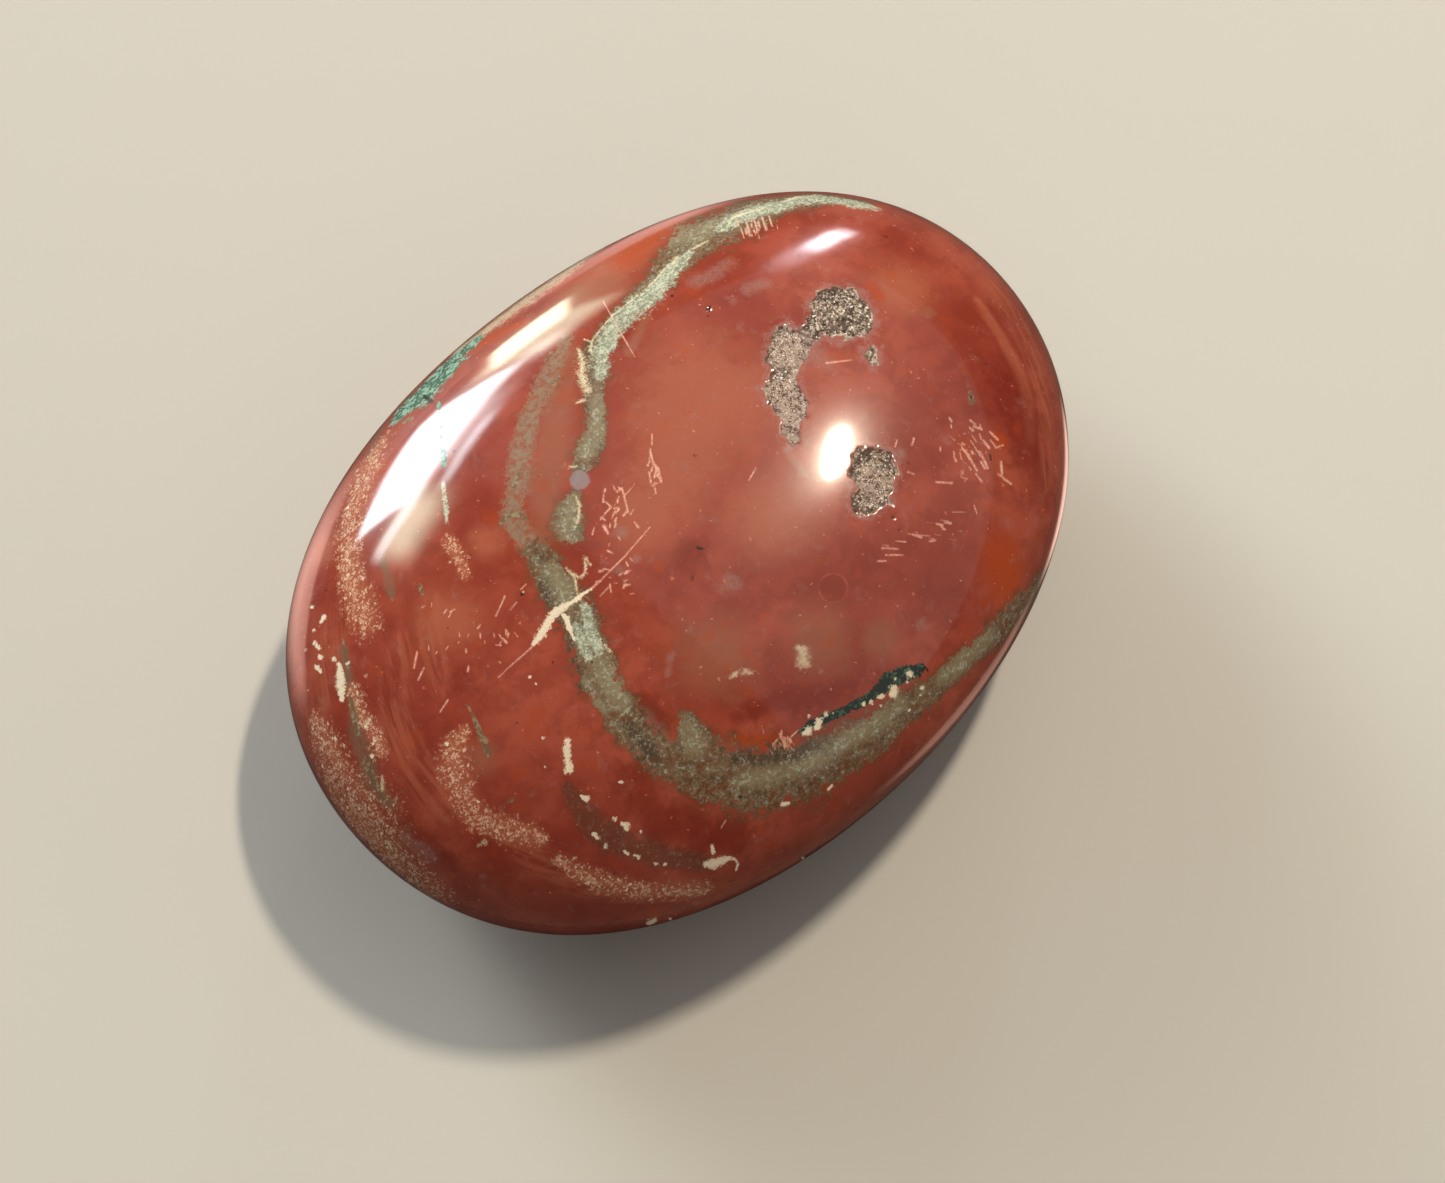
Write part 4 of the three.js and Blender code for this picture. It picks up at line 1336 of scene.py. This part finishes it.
jasper = jasperMaterial()
polishedStone = meshFromNodes("polished_stone", stoneTree(jasper), stoneValues())
refineMesh(polishedStone.data)
skin, pitShare, pitInsets = pressPits(polishedStone.data)
markStone(polishedStone.data, skin, pitShare, pitInsets)
polishedStone.data.calc_loop_triangles()
print(f"polished stone: {len(polishedStone.data.loop_triangles)} triangles")

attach(polishedStone, "root")
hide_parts("palm_stone")


# Quartz crystals on the floors of the pits
crystal = {
    "spacing": 0.15,  # millimetres
    "length": 0.21,
    "radius": 0.11,
    "sunk": 0.07,
    "tilt": 0.7,  # radians, at most
    "seed": 4,
    "pale": [((790, 350), 2.6), ((783, 405), 4.2), ((873, 484), 1.8)],  # photo pixels, millimetres
}

crystalPaint = {
    "dark": "2a1f19",
    "middle": "796659",
    "light": "f2eadc",
    "pale": "dac4b8",
}


def drusePaint():
    material = bpy.data.materials.new("druse")
    material.use_nodes = True
    make = NodeMaker(material.node_tree)
    shader = material.node_tree.nodes["Principled BSDF"]
    tone = make.add("ShaderNodeAttribute", attribute_name="tone").outputs["Fac"]
    place = make.scaled(make.add("ShaderNodeTexCoord").outputs["Object"], 1 / toMetres)
    cloud = make.ramp(make.noise(place, 0.9, 3.0), 0.42, 0.60)
    dark, mid, light = (paint(crystalPaint[name]) for name in ("dark", "middle", "light"))
    pale = 0.0
    for pixel, reach in crystal["pale"]:
        spot = tuple(castPhoto([pixel])[0])
        gap = make.add("ShaderNodeVectorMath", {0: place, 1: spot}, operation="DISTANCE").outputs["Value"]
        pale = make.math("MAXIMUM", pale, make.ramp(gap, 0.4 * reach, reach, 1.0, 0.0))
    colour = make.mix(make.ramp(tone, 0.15, 0.60), dark, mid)
    colour = make.mix(make.ramp(tone, 0.68, 0.86), colour, light)
    colour = make.mix(make.math("MULTIPLY", cloud, 0.30), colour, mid)
    colour = make.mix(make.math("MULTIPLY", pale, 0.60), colour, paint(crystalPaint["pale"]))
    make.put(shader.inputs["Base Color"], colour)
    make.put(shader.inputs["Roughness"], make.ramp(tone, 0.0, 1.0, 0.38, 0.16))
    shader.inputs["IOR"].default_value = 1.55
    return material


def crystalTree(material):
    floats = ("Spacing", "Length", "Radius", "Sunk", "Tilt")
    sockets = [("Geometry", "INPUT", "NodeSocketGeometry")]
    sockets += [(label, "INPUT", "NodeSocketFloat") for label in floats] + [("Seed", "INPUT", "NodeSocketInt")]
    sockets += [("Geometry", "OUTPUT", "NodeSocketGeometry")]
    tree = groupTree("crystal growth", "GeometryNodeTree", sockets)
    make = NodeMaker(tree)
    given = make.add("NodeGroupInput").outputs
    spread = make.add("GeometryNodeDistributePointsOnFaces", distribute_method="POISSON")
    make.put(spread.inputs["Mesh"], given["Geometry"])
    make.put(spread.inputs["Distance Min"], given["Spacing"])
    make.put(spread.inputs["Density Max"], 4.0e8)
    make.put(spread.inputs["Seed"], given["Seed"])
    cone = make.add("GeometryNodeMeshCone", {"Vertices": 6, "Radius Top": 0.0, "Radius Bottom": given["Radius"],
                                             "Depth": given["Length"]})
    sinking = make.joined(0.0, 0.0, make.math("MULTIPLY", given["Sunk"], -1.0))
    lowered = make.add("GeometryNodeTransform", {"Geometry": cone.outputs["Mesh"], "Translation": sinking})
    tiltBack = make.math("MULTIPLY", given["Tilt"], -1.0)
    lean = make.add("FunctionNodeRandomValue", data_type="FLOAT_VECTOR")
    make.put(lean.inputs[0], make.joined(tiltBack, tiltBack, 0.0))
    make.put(lean.inputs[1], make.joined(given["Tilt"], given["Tilt"], 2 * math.pi))
    make.put(lean.inputs["Seed"], given["Seed"])
    turned = make.add("FunctionNodeRotateRotation", rotation_space="LOCAL")
    make.put(turned.inputs[0], spread.outputs["Rotation"])
    make.put(turned.inputs[1], lean.outputs[0])
    size = make.add("FunctionNodeRandomValue", data_type="FLOAT")
    make.put(size.inputs[2], 0.55)
    make.put(size.inputs[3], 1.25)
    make.put(size.inputs["Seed"], 9)
    placed = make.add("GeometryNodeInstanceOnPoints", {"Points": spread.outputs["Points"],
                                                       "Instance": lowered.outputs["Geometry"],
                                                       "Rotation": turned.outputs[0], "Scale": size.outputs[1]})
    tone = make.add("FunctionNodeRandomValue", data_type="FLOAT")
    make.put(tone.inputs["Seed"], 21)
    toned = make.add("GeometryNodeStoreNamedAttribute", {"Geometry": placed.outputs["Instances"], "Name": "tone",
                                                         "Value": tone.outputs[1]},
                     data_type="FLOAT", domain="INSTANCE")
    whole = make.add("GeometryNodeRealizeInstances", {"Geometry": toned.outputs["Geometry"]})
    finished = make.add("GeometryNodeSetMaterial", {"Geometry": whole.outputs["Geometry"], "Material": material})
    make.add("NodeGroupOutput", {"Geometry": finished.outputs["Geometry"]})
    return tree


def pitFloors(mesh, share):
    # the faces on which crystals grow, as a mesh of their own
    work = bmesh.new()
    work.from_mesh(mesh)
    work.verts.ensure_lookup_table()
    low = [corner for corner in work.verts if share[corner.index] < pitShape["floorShare"]]
    bmesh.ops.delete(work, geom=low, context="VERTS")
    floors = bpy.data.meshes.new("pit floors")
    work.to_mesh(floors)
    work.free()
    return floors


crystalValues = {"Spacing": crystal["spacing"], "Length": crystal["length"], "Radius": crystal["radius"],
                 "Sunk": crystal["sunk"]}
crystalValues = {label: value * toMetres for label, value in crystalValues.items()}
crystalValues.update({"Tilt": crystal["tilt"], "Seed": crystal["seed"]})
druseCrystals = meshFromNodes("druse_crystals", crystalTree(drusePaint()), crystalValues,
                              pitFloors(polishedStone.data, pitShare))
druseCrystals.data.calc_loop_triangles()
print(f"druse crystals: {len(druseCrystals.data.loop_triangles)} triangles")

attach(druseCrystals, "root")
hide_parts("palm_stone")
